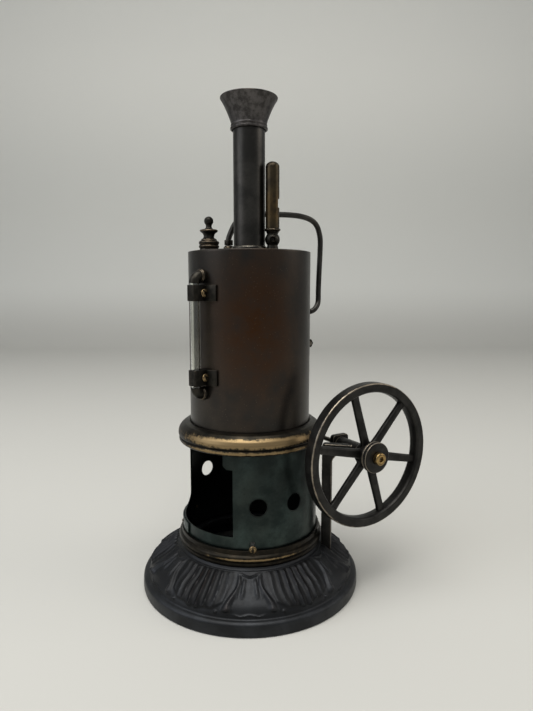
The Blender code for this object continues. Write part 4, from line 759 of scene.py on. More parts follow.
        neck = eased([(42.9, 27.7), (44.8, 27.7), (45.3, 26.9), (45.9, 26.3), (46.8, 26.2)], 0.3, 2) * MM
        rim = eased([(66.0, 8.3), (67.6, 8.1), (68.9, 6.9), (69.0, 5.2), (69.0, 0.0), (65.5, 0.0),
                     (60.5, 8.0), (43.2, 22.5), (39.2, 22.5), (39.2, 24.3), (42.9, 24.3)], 0.7, 3) * MM
        wide = 0 * azimuth
        plain = [np.stack([part[:, :1] + wide, part[:, 1:] + wide], -1) for part in (neck, rim)]
        whole = np.concatenate([plain[0], np.stack([radius, level], -1), plain[1]])
        angle = np.radians(azimuth)
        place = upright(AXIS, 90.0)
        points = place.at(whole[..., 0] * np.sin(angle), -whole[..., 0] * np.cos(angle), whole[..., 1])
        marks = np.concatenate([0 * plain[0][..., 0] + 0.15, rub, 0 * plain[1][..., 0] + 0.1])
        # The soot mark carries the relief's painted shade in the flutes, and the warm mark follows the rub
        # with its painted highlight.
        soot = np.concatenate([0 * plain[0][..., 0] + 0.2, grime_and_shade, 0 * plain[1][..., 0]])
        warm = np.concatenate([0 * plain[0][..., 0], np.clip(rub * 1.5, 0, 1), 0 * plain[1][..., 0]])
        faces = grid_faces(*points.shape[:2], True, True).tolist()
        return make_object("base_casting", points, faces, {"rub": marks, "soot": soot, "warm": warm})

    def collar(self) -> bpy.types.Object:
        """The collar: a plain band over a bead whose crown is rubbed to gold, strongest on the side facing
        the camera, where the gold is partly a painted highlight.
        """
        outline = eased([(42.9, 37.3), (44.3, 37.3), (44.3, 34.6), (45.0, 34.2), (45.7, 33.4), (46.0, 32.2),
                         (45.8, 31.0), (45.4, 30.4), (45.5, 29.0), (45.4, 28.4), (44.8, 28.0),
                         (42.9, 28.0)], 0.35, 4, True) * MM
        outline = divided(outline, 0.5 * MM, True)
        crown = np.exp(-((outline[:, 1] - 32.3 * MM) / (0.75 * MM)) ** 2) * (outline[:, 0] > 45 * MM)
        azimuth = np.linspace(90.0, 450.0, 256, endpoint=False)[None, :]
        # The rub is partly real wear and partly a painted highlight: it is strongest on the side that faces
        # the camera.
        off = (azimuth + 28.0 + 180.0) % 360.0 - 180.0
        front = 0.25 + 0.75 * np.exp(-(off / 34.0) ** 4) + 0.12 * ripple(azimuth * 3, 0 * azimuth, 0.9)
        marks = {"rub": crown[:, None] * front * 0.75, "soot": 0.35 * (1 - crown)}
        return turned("neck_collar", outline, upright(AXIS), 256, marks)

    def build(self) -> None:
        """Builds and dresses the base."""
        settle(self.cast_shell(), Finish.JAPANNED_IRON, "base_shell")
        settle(self.collar(), Finish.BLACKED_BRASS, "base_collar")


# ---- firebox and ring ----

@dataclass(frozen=True)
class Firebox:
    """The sheet with its door and vents, and the turned ring over it."""

    radius: float = 42.5 * MM
    wall: float = 0.7 * MM
    bottom: float = 24.6 * MM
    top: float = 99.9 * MM
    door_azimuth: float = -91.0
    door_width: float = 62.9 * MM
    sill: float = 44.4 * MM
    door_corner: float = 7.5 * MM
    tab_width: float = 4.3 * MM
    tab_height: float = 84.5 * MM
    vent_radius: float = 5.15 * MM
    vent_height: float = 62.5 * MM
    vent_first: float = -23.3
    vent_pitch: float = 31.4
    vents: int = 8
    screws: tuple = (("front", -27.8), ("right", 92.2), ("rear", 212.2))

    def door_cutter(self) -> bpy.types.Object:
        """A prism through the wall, as wide as the door, with its rounded lower far corner and its tab."""
        half = self.door_width / 2
        over = self.top + 3 * MM
        place = upright(AXIS, self.door_azimuth)
        side = Place(place.origin, place.y, place.z, place.x)
        corner = np.radians(np.linspace(180.0, 270.0, 12))
        arc = np.stack([-half + self.door_corner * (1 + np.cos(corner)),
                        self.sill + self.door_corner * (1 + np.sin(corner))], 1)
        tab = half - self.tab_width
        near = np.array([(half, self.sill), (half, self.tab_height),
                         (half - self.tab_width * 0.6, self.tab_height),
                         (tab, self.tab_height + 2 * MM), (tab, over), (-half, over)])
        return prism("door_cutter", np.vstack([arc, near]), side, 8 * MM, 60 * MM, 0.01 * MM)

    def sheet(self) -> bpy.types.Object:
        """The sheet: a thin turned wall with its openings cut through it."""
        inner = self.radius - self.wall
        outline = eased([(self.radius, self.top), (self.radius, self.bottom), (inner, self.bottom),
                         (inner, self.top)], 0.15 * MM, 2, True)
        outline = divided(outline, 1.6 * MM, True)
        wall = turned("firebox_sheet", outline, upright(AXIS), 240)
        cutters = [self.door_cutter()]
        for i in range(self.vents):
            place = outward(self.vent_first + self.vent_pitch * i, self.radius, self.vent_height)
            vent = polygon(48, self.vent_radius)
            cutters.append(prism("vent_cutter", vent, place, -4 * MM, 3 * MM, 0.01 * MM))
        for _, azimuth in self.screws[:2]:
            slot = np.array([(-1.2, -1.2), (1.2, -1.2), (1.2, 3.6), (-1.2, 3.6)]) * MM
            place = outward(azimuth, self.radius, 38.4 * MM)
            cutters.append(prism("slot_cutter", slot, place, -3 * MM, 2 * MM, 0.01 * MM))
        cut(wall, cutters)
        self.age(wall)
        return wall

    def age(self, wall: bpy.types.Object) -> None:
        """Paints the marks of heat: soot inside and round the vents, smoke that grows towards the top, and an
        uneven brown over the sheet.
        """
        count = len(wall.data.vertices)
        flat = np.empty(count * 3)
        wall.data.vertices.foreach_get("co", flat)
        points = flat.reshape(-1, 3) - AXIS
        radius = np.hypot(points[:, 0], points[:, 1])
        azimuth = np.degrees(np.arctan2(points[:, 0], -points[:, 1]))
        soot = np.where(radius < self.radius - self.wall * 0.6, 0.92, 0.0)
        centres = self.vent_first + self.vent_pitch * np.arange(self.vents)
        off = (azimuth[:, None] - centres[None] + 180.0) % 360.0 - 180.0
        near = np.hypot(np.radians(off) * self.radius, (points[:, 2:] - self.vent_height)).min(axis=1)
        rim = np.exp(-((near - self.vent_radius) / (0.7 * MM)) ** 2) * 0.7
        soot = np.maximum(soot, rim)
        heat = 0.15 + np.clip((points[:, 2] - 48 * MM) / (35 * MM), 0, 1) * 0.6
        smoke = heat * (0.5 + 0.5 * ripple(azimuth, points[:, 2], 0.4))
        brown = 0.5 * (0.5 + 0.5 * ripple(azimuth, points[:, 2], 2.2))
        for mark, values in (("soot", np.maximum(soot, smoke)), ("rub", 0 * soot), ("warm", brown)):
            attribute = wall.data.attributes.get(mark) or wall.data.attributes.new(mark, "FLOAT", "POINT")
            attribute.data.foreach_set("value", values.astype(np.float32))

    def ring(self) -> bpy.types.Object:
        """The ring: a rounded band over a groove and a bead, rubbed bright on its band and bead, most on the
        side facing the camera, where the brightness is partly a painted highlight.
        """
        outline = eased([(37.8, 105.4), (39.0, 105.25), (41.5, 104.5), (43.2, 103.2), (44.6, 101.6),
                         (45.3, 99.6), (45.4, 97.6), (44.9, 97.1), (44.4, 96.7), (44.4, 96.1), (44.9, 95.8),
                         (45.05, 95.0), (44.9, 94.0), (44.2, 93.2), (42.8, 93.2), (42.8, 100.2),
                         (37.8, 100.2)], 0.5, 4, True) * MM
        outline = divided(outline, 0.5 * MM, True)
        height = outline[:, 1]
        band = np.exp(-((height - 100.5 * MM) / (3.1 * MM)) ** 2) * 0.88
        bead = np.exp(-((height - 94.9 * MM) / (1.1 * MM)) ** 2) * 0.75
        groove = np.exp(-((height - 96.4 * MM) / (0.4 * MM)) ** 2)
        rub = np.maximum(band, bead) * (outline[:, 0] > 43.0 * MM)
        azimuth = np.linspace(90.0, 450.0, 256, endpoint=False)[None, :]
        # The rub is partly real wear and partly a painted highlight: it is strongest on the side that faces
        # the camera.
        off = (azimuth + 29.0 + 180.0) % 360.0 - 180.0
        front = 0.30 + 0.70 * np.exp(-(off / 56.0) ** 4) + 0.08 * ripple(azimuth * 2, 0 * azimuth, 1.9)
        return turned("boiler_ring_turned", outline, upright(AXIS), 256,
                      {"rub": rub[:, None] * front, "soot": groove * 0.9})

    def seam(self) -> bpy.types.Object:
        """The lap strip at the foot of the door, bent round the sheet."""
        azimuth = np.radians(np.linspace(-139.4, -91.4, 40))[None, :]
        section = eased([(43.5, 44.0), (43.5, 37.6), (42.8, 37.6), (42.8, 44.0)], 0.2, 2, True) * MM
        radius, height = section[:, :1], section[:, 1:]
        place = upright(AXIS, 90.0)
        points = place.at(radius * np.sin(azimuth), -radius * np.cos(azimuth), height + 0 * azimuth)
        faces = grid_faces(*points.shape[:2], True, False).tolist()
        rows, columns = points.shape[:2]
        index = np.arange(rows * columns).reshape(rows, columns)
        faces += [index[:, 0].tolist(), index[:, -1].tolist()]
        return make_object("door_lap_strip", points, faces)

    def build(self) -> None:
        """Builds and dresses the firebox."""
        settle(self.sheet(), Finish.BLUED_STEEL, "firebox_shell")
        settle(self.ring(), Finish.BLACKED_BRASS, "boiler_ring")
        settle(self.seam(), Finish.BLUED_STEEL, "firebox_seam_strip")
        dome = eased([(0.0, 0.8), (0.75, 0.6), (1.1, 0.0), (0.0, 0.0)], 0.4, 3) * MM
        rivet = turned("door_lap_rivet", dome, outward(-109.4, 43.55 * MM, 40.8 * MM), 24)
        settle(rivet, Finish.BLACK_FITTING, "firebox_seam_rivet")
        for side, azimuth in self.screws:
            screw = slotted_head("collar_screw_" + side + "_turned", 2.15 * MM, 1.5 * MM,
                                 outward(azimuth, 44.62 * MM, 38.4 * MM), 90.0, 3.0 * MM)
            settle(screw, Finish.BLACKED_BRASS, "collar_screw_" + side)


def slotted_head(name: str, radius: float, height: float, place: Place, turn: float,
                 shank: float) -> bpy.types.Object:
    """A domed screw head on a shank, with a slot sawn across it.

    Args:
        name: The object's name.
        radius: The head's radius.
        height: The head's height.
        place: A frame whose z points out of the head.
        turn: The slot's angle in the frame, in degrees.
        shank: The shank's length.

    Returns:
        The object.
    """
    dome = eased([(0.0, height), (radius * 0.62, height * 0.86), (radius, height * 0.35), (radius, 0.0),
                  (radius * 0.42, 0.0), (radius * 0.42, -shank), (0.0, -shank)], radius * 0.22, 3)
    head = turned(name, dome, place, 40)
    a = math.radians(turn)
    corners = np.array([(-1.4, -0.14), (1.4, -0.14), (1.4, 0.14), (-1.4, 0.14)]) * radius
    across = np.stack([corners[:, 0] * math.cos(a) - corners[:, 1] * math.sin(a),
                       corners[:, 0] * math.sin(a) + corners[:, 1] * math.cos(a)], 1)
    return cut(head, [prism(name + "_slot", across, place, height * 0.42, height * 1.5, 0.01 * MM)])


# ---- boiler and chimney ----

@dataclass(frozen=True)
class Boiler:
    """The boiler's drum and its top plate."""

    radius: float = 37.5 * MM
    bottom: float = 97.0 * MM
    top: float = 209.7 * MM
    flue: float = 8.9 * MM

    def drum(self) -> bpy.types.Object:
        """The drum: drawn tube that wanders by a few hundredths of a millimetre, as the real one does."""
        inner = self.radius - 0.8 * MM
        brim = self.top - 0.3 * MM
        outline = eased([(self.radius, brim), (self.radius, self.bottom), (inner, self.bottom),
                         (inner, brim)], 0.38 * MM, 3, True)
        outline = divided(outline, 1.5 * MM, True)
        height = outline[:, 1]
        azimuth = np.linspace(90.0, 450.0, 320, endpoint=False)[None, :]
        # The warm mark is a painted sheen: a red-brown patch at mid-height, centred on the side that faces
        # the camera, in place of the copper's reflection.
        off = (azimuth + 24.0 + 180.0) % 360.0 - 180.0
        painted_sheen = np.exp(-((height[:, None] - 165 * MM) / (45 * MM)) ** 2) * np.exp(-(off / 38.0) ** 2)
        soot = np.clip((118 * MM - height) / (20 * MM), 0, 1) * 0.3
        rub = np.exp(-((height - self.top) / (0.8 * MM)) ** 2) * 0.9
        marks = {"warm": 0.08 + 0.92 * painted_sheen, "soot": soot, "rub": rub}
        return turned("boiler_drum", outline, upright(AXIS), 320, marks, 0.0011)

    def cap(self) -> bpy.types.Object:
        """The top plate, let into the mouth of the drum."""
        seat = self.radius - 0.9 * MM
        outline = eased([(self.flue, self.top), (seat - 0.5 * MM, self.top), (seat, self.top - 0.7 * MM),
                         (seat, 202.0 * MM), (seat - 0.9 * MM, 202.0 * MM), (seat - 0.9 * MM, 207.7 * MM),
                         (self.flue, 207.7 * MM)], 0.4 * MM, 4, True)
        outline = divided(outline, 1.2 * MM, True)
        return turned("boiler_cap", outline, upright(AXIS), 256, {"warm": 0.1 + 0 * outline[:, 0]})

    def build(self) -> None:
        """Builds and dresses the boiler."""
        settle(self.drum(), Finish.BROWNED_COPPER, "boiler_shell")
        settle(self.cap(), Finish.BROWNED_COPPER, "boiler_top_plate")


@dataclass(frozen=True)
class Chimney:
    """The turned chimney: its flange, its tube and its bell."""

    radius: float = 9.64 * MM
    bottom: float = 210.0 * MM
    bell: float = 281.3 * MM
    top: float = 300.0 * MM

    def build(self) -> None:
        """Builds and dresses the chimney."""
        place = upright(AXIS)
        low = self.bottom
        flange = eased([(9.9 * MM, low + 3.0 * MM), (10.4 * MM, low + 3.0 * MM), (11.0 * MM, low + 2.2 * MM),
                        (11.0 * MM, low + 0.5 * MM), (10.6 * MM, low), (9.9 * MM, low)], 0.3 * MM, 3, True)
        settle(turned("chimney_foot", flange, place, 128), Finish.BRONZED_BRASS, "chimney_flange")
        bore = 8.9 * MM
        tube = eased([(self.radius, 289.0 * MM), (self.radius, low), (bore, low), (bore, 289.0 * MM)],
                     0.2 * MM, 2, True)
        tube = divided(tube, 1.2 * MM, True)
        inside = (tube[:, 0] < self.radius - 0.4 * MM) * 0.9
        settle(turned("chimney_pipe", tube, place, 128, {"soot": inside}, 0.0015), Finish.BRONZED_BRASS,
               "chimney_tube")
        outer = [(17.3, 300.0), (17.25, 299.3), (16.4, 298.1), (15.2, 296.0), (14.1, 293.8), (13.1, 291.6),
                 (12.2, 289.4), (11.4, 287.3), (10.8, 285.4), (10.65, 284.8), (11.0, 284.5), (11.0, 283.8),
                 (10.6, 283.4), (10.75, 283.1), (11.3, 282.7), (11.35, 282.1), (11.15, 281.6), (10.75, 281.4),
                 (9.94, 281.3)]
        inner = [(9.94, 288.6), (9.2, 289.1), (10.6, 290.2), (12.2, 293.2), (13.4, 295.7), (14.8, 298.1),
                 (16.4, 300.0)]
        outline = divided(eased(np.array(outer + inner) * MM, 0.6 * MM, 4, True), 0.5 * MM, True)
        inside = np.zeros(len(outline))
        inside[np.argmin(outline[:, 1]):] = 0.75
        rub = edge_rub(outline, True)
        rub = np.maximum(rub * 0.7, np.exp(-((outline[:, 1] - 283.2 * MM) / (1.2 * MM)) ** 2) * 0.45)
        rub = np.maximum(rub, 0.35 * (outline[:, 1] > 286 * MM))
        settle(turned("chimney_top", outline, place, 192, {"soot": inside, "rub": rub * (inside == 0)}),
               Finish.SMOKED_BRASS, "chimney_bell")


# ---- fittings on the boiler's top ----

@dataclass(frozen=True)
class SafetyValve:
    """The safety valve: a ringed body and a turned finial that lifts."""

    def build(self) -> None:
        """Builds and dresses the valve, with its stub cut short where the lifted spring passes."""
        middle = node_middle("safety_valve_body")
        place = upright(np.array([middle[0], middle[1], 0.0]))
        body = eased([(1.6, 216.3), (5.5, 216.3), (6.2, 215.8), (6.2, 214.4), (5.5, 213.9), (6.2, 213.4),
                      (6.25, 212.3), (5.6, 211.9), (5.9, 210.0), (3.0, 210.0), (3.0, 206.8), (1.6, 206.8)],
                     0.35, 4, True) * MM
        settle(turned("safety_valve_base", body, place, 72), Finish.BLACK_FITTING, "safety_valve_body")
        ball = np.radians(np.linspace(88.0, -50.0, 14))
        head = [(2.85 * math.cos(a), 228.15 + 2.85 * math.sin(a)) for a in ball]
        outline = eased([(0.0, 231.0)] + head + [(1.75, 225.1), (1.9, 224.2), (2.7, 223.5), (5.2, 223.0),
                        (5.7, 222.4), (5.1, 221.7), (3.7, 220.6), (3.2, 219.4), (3.3, 218.2), (4.9, 217.1),
                        (5.0, 216.6), (1.3, 216.6), (1.3, 188.8), (0.0, 188.8)], 0.3, 3) * MM
        finial = turned("safety_valve_finial", outline, place, 72)
        settle(finial, Finish.BLACK_FITTING, "safety_valve_stem", body="safety_valve")


@dataclass(frozen=True)
class Whistle:
    """The whistle: a ball cock with its lever, and a pipe with a mouth."""

    mouth_azimuth: float = 60.6
    ball: float = 216.8 * MM
    tube_radius: float = 4.15 * MM
    tube_bottom: float = 223.5 * MM
    tube_top: float = 262.5 * MM
    mouth_bottom: float = 235.5 * MM
    mouth_top: float = 241.0 * MM

    def build(self) -> None:
        """Builds and dresses the whistle."""
        middle = node_middle("whistle_cock")
        place = upright(np.array([middle[0], middle[1], 0.0]), self.mouth_azimuth)
        arc = np.radians(np.linspace(44.0, -46.0, 14))
        ball = [(4.5 * math.cos(a), 216.8 + 4.5 * math.sin(a)) for a in arc]
        outline = eased([(0.0, 223.2), (4.6, 223.2), (4.9, 222.8), (4.9, 222.2), (4.1, 221.7), (3.5, 220.6)]
                        + ball + [(3.4, 212.2), (3.7, 210.0), (2.0, 210.0), (2.0, 205.5), (0.0, 205.5)],
                        0.3, 3) * MM
        cock = turned("whistle_ball_cock", outline, place, 64)
        ball_place = Place(place.origin + place.z * self.ball, place.x, place.z, -place.y)
        hole = turned("plug_hole", np.array([(0.0, 8.0), (1.65, 8.0), (1.65, -8.0), (0.0, -8.0)]) * MM,
                      ball_place, 32)
        settle(cut(cock, [hole]), Finish.BLACK_FITTING, "whistle_cock")

        plug = eased([(0.0, 2.6), (1.1, 2.6), (1.5, 3.2), (1.5, -5.3), (0.0, -5.3)], 0.2, 2) * MM
        lever = turned("whistle_plug_and_lever", plug, ball_place, 32)
        low = np.radians(np.linspace(150.0, 390.0, 16))
        high = np.radians(np.linspace(0.0, 180.0, 10))
        outline = np.vstack([np.stack([1.69 * np.cos(low), 1.69 * np.sin(low)], 1),
                             np.stack([1.17 * np.cos(high), 10.33 + 1.17 * np.sin(high)], 1)]) * MM
        blade = prism("lever_blade", outline, ball_place, -6.1 * MM, -5.1 * MM, 0.2 * MM)
        settle(cut(lever, [blade], "UNION"), Finish.BLACK_FITTING, "whistle_lever", body="whistle_lever")

        r, wall, top = self.tube_radius / MM, 0.5, self.tube_top / MM
        dome = np.radians(np.linspace(88.0, 0.0, 12))
        rise, low = r * 0.75, self.tube_bottom / MM
        outer = [(r * math.cos(a), top - rise + rise * math.sin(a)) for a in dome]
        inner = [((r - wall) * math.cos(a), top - rise + (rise - wall) * math.sin(a)) for a in dome[::-1]]
        outline = np.array([(0.0, top), *outer, (r, low), (r - wall, low), *inner, (0.0, top - wall)]) * MM
        outline = divided(outline, 1.0 * MM)
        height = outline[:, 1]
        gold = np.exp(-((height - 236 * MM) / (8 * MM)) ** 2) * 0.35
        pipe = turned("whistle_pipe", outline, place, 72, {"warm": gold * 1.6, "rub": gold})
        slot = np.array([(1.9, -2.6), (6.0, -2.6), (6.0, 2.6), (1.9, 2.6)]) * MM
        mouth = prism("mouth_cutter", slot, place, self.mouth_bottom, self.mouth_top, 0.01 * MM)
        settle(cut(pipe, [mouth]), Finish.PATINATED_BRASS, "whistle_tube")


@dataclass(frozen=True)
class SteamPipe:
    """The union on the boiler's top, and the pipe over and down to the steam block."""

    radius: float = 1.80 * MM
    route: tuple = ((-4.2, 19.6, 214.8), (-3.9, 19.6, 219.8), (1.4, 18.7, 230.0), (8.8, 15.7, 234.2),
                    (28.2, 9.4, 235.0), (44.2, 7.2, 234.4), (54.6, 7.2, 230.8), (59.0, 7.4, 222.5),
                    (59.8, 8.0, 212.0), (59.6, 8.5, 199.0), (59.2, 8.6, 186.0), (58.1, 7.4, 177.7),
                    (54.8, 6.2, 173.5), (51.6, 6.6, 171.7), (50.0, 9.5, 171.5), (50.0, 13.7, 171.5))

    def build(self) -> None:
        """Builds and dresses the pipe and its nuts."""
        middle = node_middle("steam_union")
        place = upright(np.array([middle[0], middle[1], 0.0]))
        union = eased([(0.0, 214.5), (2.4, 214.5), (3.4, 213.3), (3.4, 211.0), (2.6, 210.0), (2.0, 210.0),
                       (2.0, 205.5), (0.0, 205.5)], 0.3, 3) * MM
        settle(turned("steam_union_body", union, place, 48), Finish.BLACK_FITTING, "steam_union")
        nut = prism("steam_union_collar", eased(polygon(6, 3.1 * MM), 0.25 * MM, 3, True), place, 214.8 * MM,
                    218.0 * MM, 0.35 * MM)
        settle(nut, Finish.BLACK_FITTING, "steam_union_nut")
        path = curve_through(AXIS + np.array(self.route) * MM, 0.9 * MM)
        guide = np.array([1.0, -1.0, -1.0]) / math.sqrt(3.0)
        pipe = swept("steam_pipe_drawn", path, polygon(24, self.radius), guide)
        settle(pipe, Finish.BRONZED_BRASS, "steam_pipe")
        entry = forward(AXIS + np.array([50.0, 13.7, 171.5]) * MM)
        nut = prism("steam_pipe_entry_nut", eased(polygon(6, 3.1 * MM), 0.25 * MM, 3, True), entry, 0.0,
                    3.2 * MM, 0.35 * MM)
        settle(nut, Finish.BLACK_FITTING, "steam_pipe_lower_nut")


# ---- water gauge ----

@dataclass(frozen=True)
class WaterGauge:
    """The bent glass with its two clamps, its screws and its two glands."""

    azimuth: float = -74.7
    reach: float = 43.7 * MM
    glass_radius: float = 2.85 * MM
    glass_wall: float = 0.8 * MM
    elbow: float = 4.2 * MM
    wall: float = 37.8 * MM
    levels: tuple = (("top", 185.0, 194.7), ("bottom", 136.4, 126.7))
    clamp_height: float = 9.2 * MM
    clamp_half: float = 3.2 * MM
    screw_reach: float = 39.7 * MM

    def glass(self) -> bpy.types.Object:
        """The glass: a bent tube whose section is carried along it and back inside it."""
        place = upright(AXIS, self.azimuth)
        top, bottom = 194.7 * MM, 126.7 * MM
        corner = self.reach - self.elbow
        bend = np.radians(np.linspace(90.0, 0.0, 12))
        a = np.concatenate([[self.wall], corner + self.elbow * np.cos(bend),
                            corner + self.elbow * np.cos(-bend[::-1]), [self.wall]])
        b = np.concatenate([[top], top - self.elbow + self.elbow * np.sin(bend),
                            bottom + self.elbow - self.elbow * np.sin(bend[::-1]), [bottom]])
        path = place.at(a, 0 * a, b)
        tangent = np.gradient(path, axis=0)
        tangent /= np.linalg.norm(tangent, axis=1, keepdims=True)
        across = np.broadcast_to(place.y, path.shape)
        second = np.cross(tangent, across)
        turn = np.linspace(0.0, 2 * math.pi, 40, endpoint=False)[None, :, None]
        shells = []
        for radius in (self.glass_radius, self.glass_radius - self.glass_wall):
            ring = np.cos(turn) * across[:, None] + np.sin(turn) * second[:, None]
            shells.append(path[:, None] + radius * ring)
        points = np.concatenate([shells[0], shells[1][::-1]])
        return make_object("gauge_glass_bent", points, grid_faces(*points.shape[:2], True, True).tolist())

    def sleeve(self, level: str, height: float, up: float) -> bpy.types.Object:
        """The dark sleeve over the glass's bend, from the gland to a little past the bend: the gland's
        packing, carried on over the bend as a dark piece that stands for the shade there.

        Args:
            level: Top or bottom.
            height: The bend's height on the boiler.
            up: 1 where the glass goes down from the bend, and -1 where it goes up.

        Returns:
            The object.
        """
        place = upright(AXIS, self.azimuth)
        corner = self.reach - self.elbow
        bend = np.radians(np.linspace(90.0, 0.0, 14))
        a = np.concatenate([[self.wall + 1.2 * MM], corner + self.elbow * np.cos(bend)])
        b = np.concatenate([[height], height + up * self.elbow * (np.sin(bend) - 1)])
        path = place.at(a, 0 * a, b)
        return swept("gauge_packing_and_shade_sleeve_" + level, path, polygon(36, self.glass_radius + 0.35 * MM), place.y)

    def clamp(self, level: str, height: float) -> bpy.types.Object:
        """A clamp: a block round the glass that joins a curved ear on the boiler's side."""
        place = upright(AXIS, self.azimuth)
        low, high = height - self.clamp_height / 2, height + self.clamp_height / 2
        outer = self.reach + self.clamp_half
        half = self.clamp_half
        block = eased([(self.wall, -half), (outer, -half), (outer, half), (self.wall, half)], 1.1 * MM, 5,
                      True)
        body = prism("gauge_clamp_" + level + "_block", block, place, low, high, 0.35 * MM)
        span = np.radians(np.linspace(-3.0, 16.0, 14))
        ear = np.vstack([np.stack([38.9 * MM * np.cos(span), 38.9 * MM * np.sin(span)], 1),
                         np.stack([self.wall * np.cos(span[::-1]), self.wall * np.sin(span[::-1])], 1)])
        strip = prism("clamp_ear", ear, place, low, high, 0.15 * MM)
        bore = turned("clamp_bore", np.array([(0.0, high + MM), (3.1 * MM, high + MM), (3.1 * MM, low - MM),
                                              (0.0, low - MM)]),
                      Place(place.origin + place.x * self.reach, place.x, place.y, place.z), 48)
        return cut(cut(body, [strip], "UNION"), [bore])

    def build(self) -> None:
        """Builds and dresses the gauge."""
        settle(self.glass(), Finish.GLASS, "gauge_glass")
        place = upright(AXIS, self.azimuth)
        for level, height, gland_height in self.levels:
            height, gland_height = height * MM, gland_height * MM
            settle(self.clamp(level, height), Finish.BLACK_FITTING, "gauge_clamp_" + level)
            seat = place.origin + place.x * self.screw_reach + place.y * 3.5 * MM + place.z * height
            screw = Place(seat, place.z, place.x, place.y)
            head = slotted_head("gauge_screw_" + level + "_turned", 2.3 * MM, 1.4 * MM, screw, 35.0, 9.0 * MM)
            settle(head, Finish.BLACKED_BRASS, "gauge_screw_" + level)
            nut = prism("gauge_nut_" + level + "_hex", eased(polygon(6, 1.95 * MM), 0.2 * MM, 2, True), screw,
                        -8.6 * MM, -7.0 * MM, 0.25 * MM)
            settle(nut, Finish.BLACK_FITTING, "gauge_nut_" + level)
            outline = eased([(2.9, 2.6), (3.4, 2.6), (4.0, 1.9), (4.0, 0.3), (4.0, -0.9), (2.9, -0.9)],
                            0.3, 3, True) * MM
            gland = turned("gauge_gland_" + level + "_turned", outline,
                           outward(self.azimuth, self.wall, gland_height), 48)
            settle(gland, Finish.BLACK_FITTING, "gauge_gland_" + level)
            up = 1.0 if level == "top" else -1.0
            # A dark sleeve over each bend: the packing at the gland, and past it a dark piece standing for
            # the shade on the glass.
            settle(self.sleeve(level, gland_height, up), Finish.BLACK_FITTING)


# ---- flywheel, shaft and bearings ----

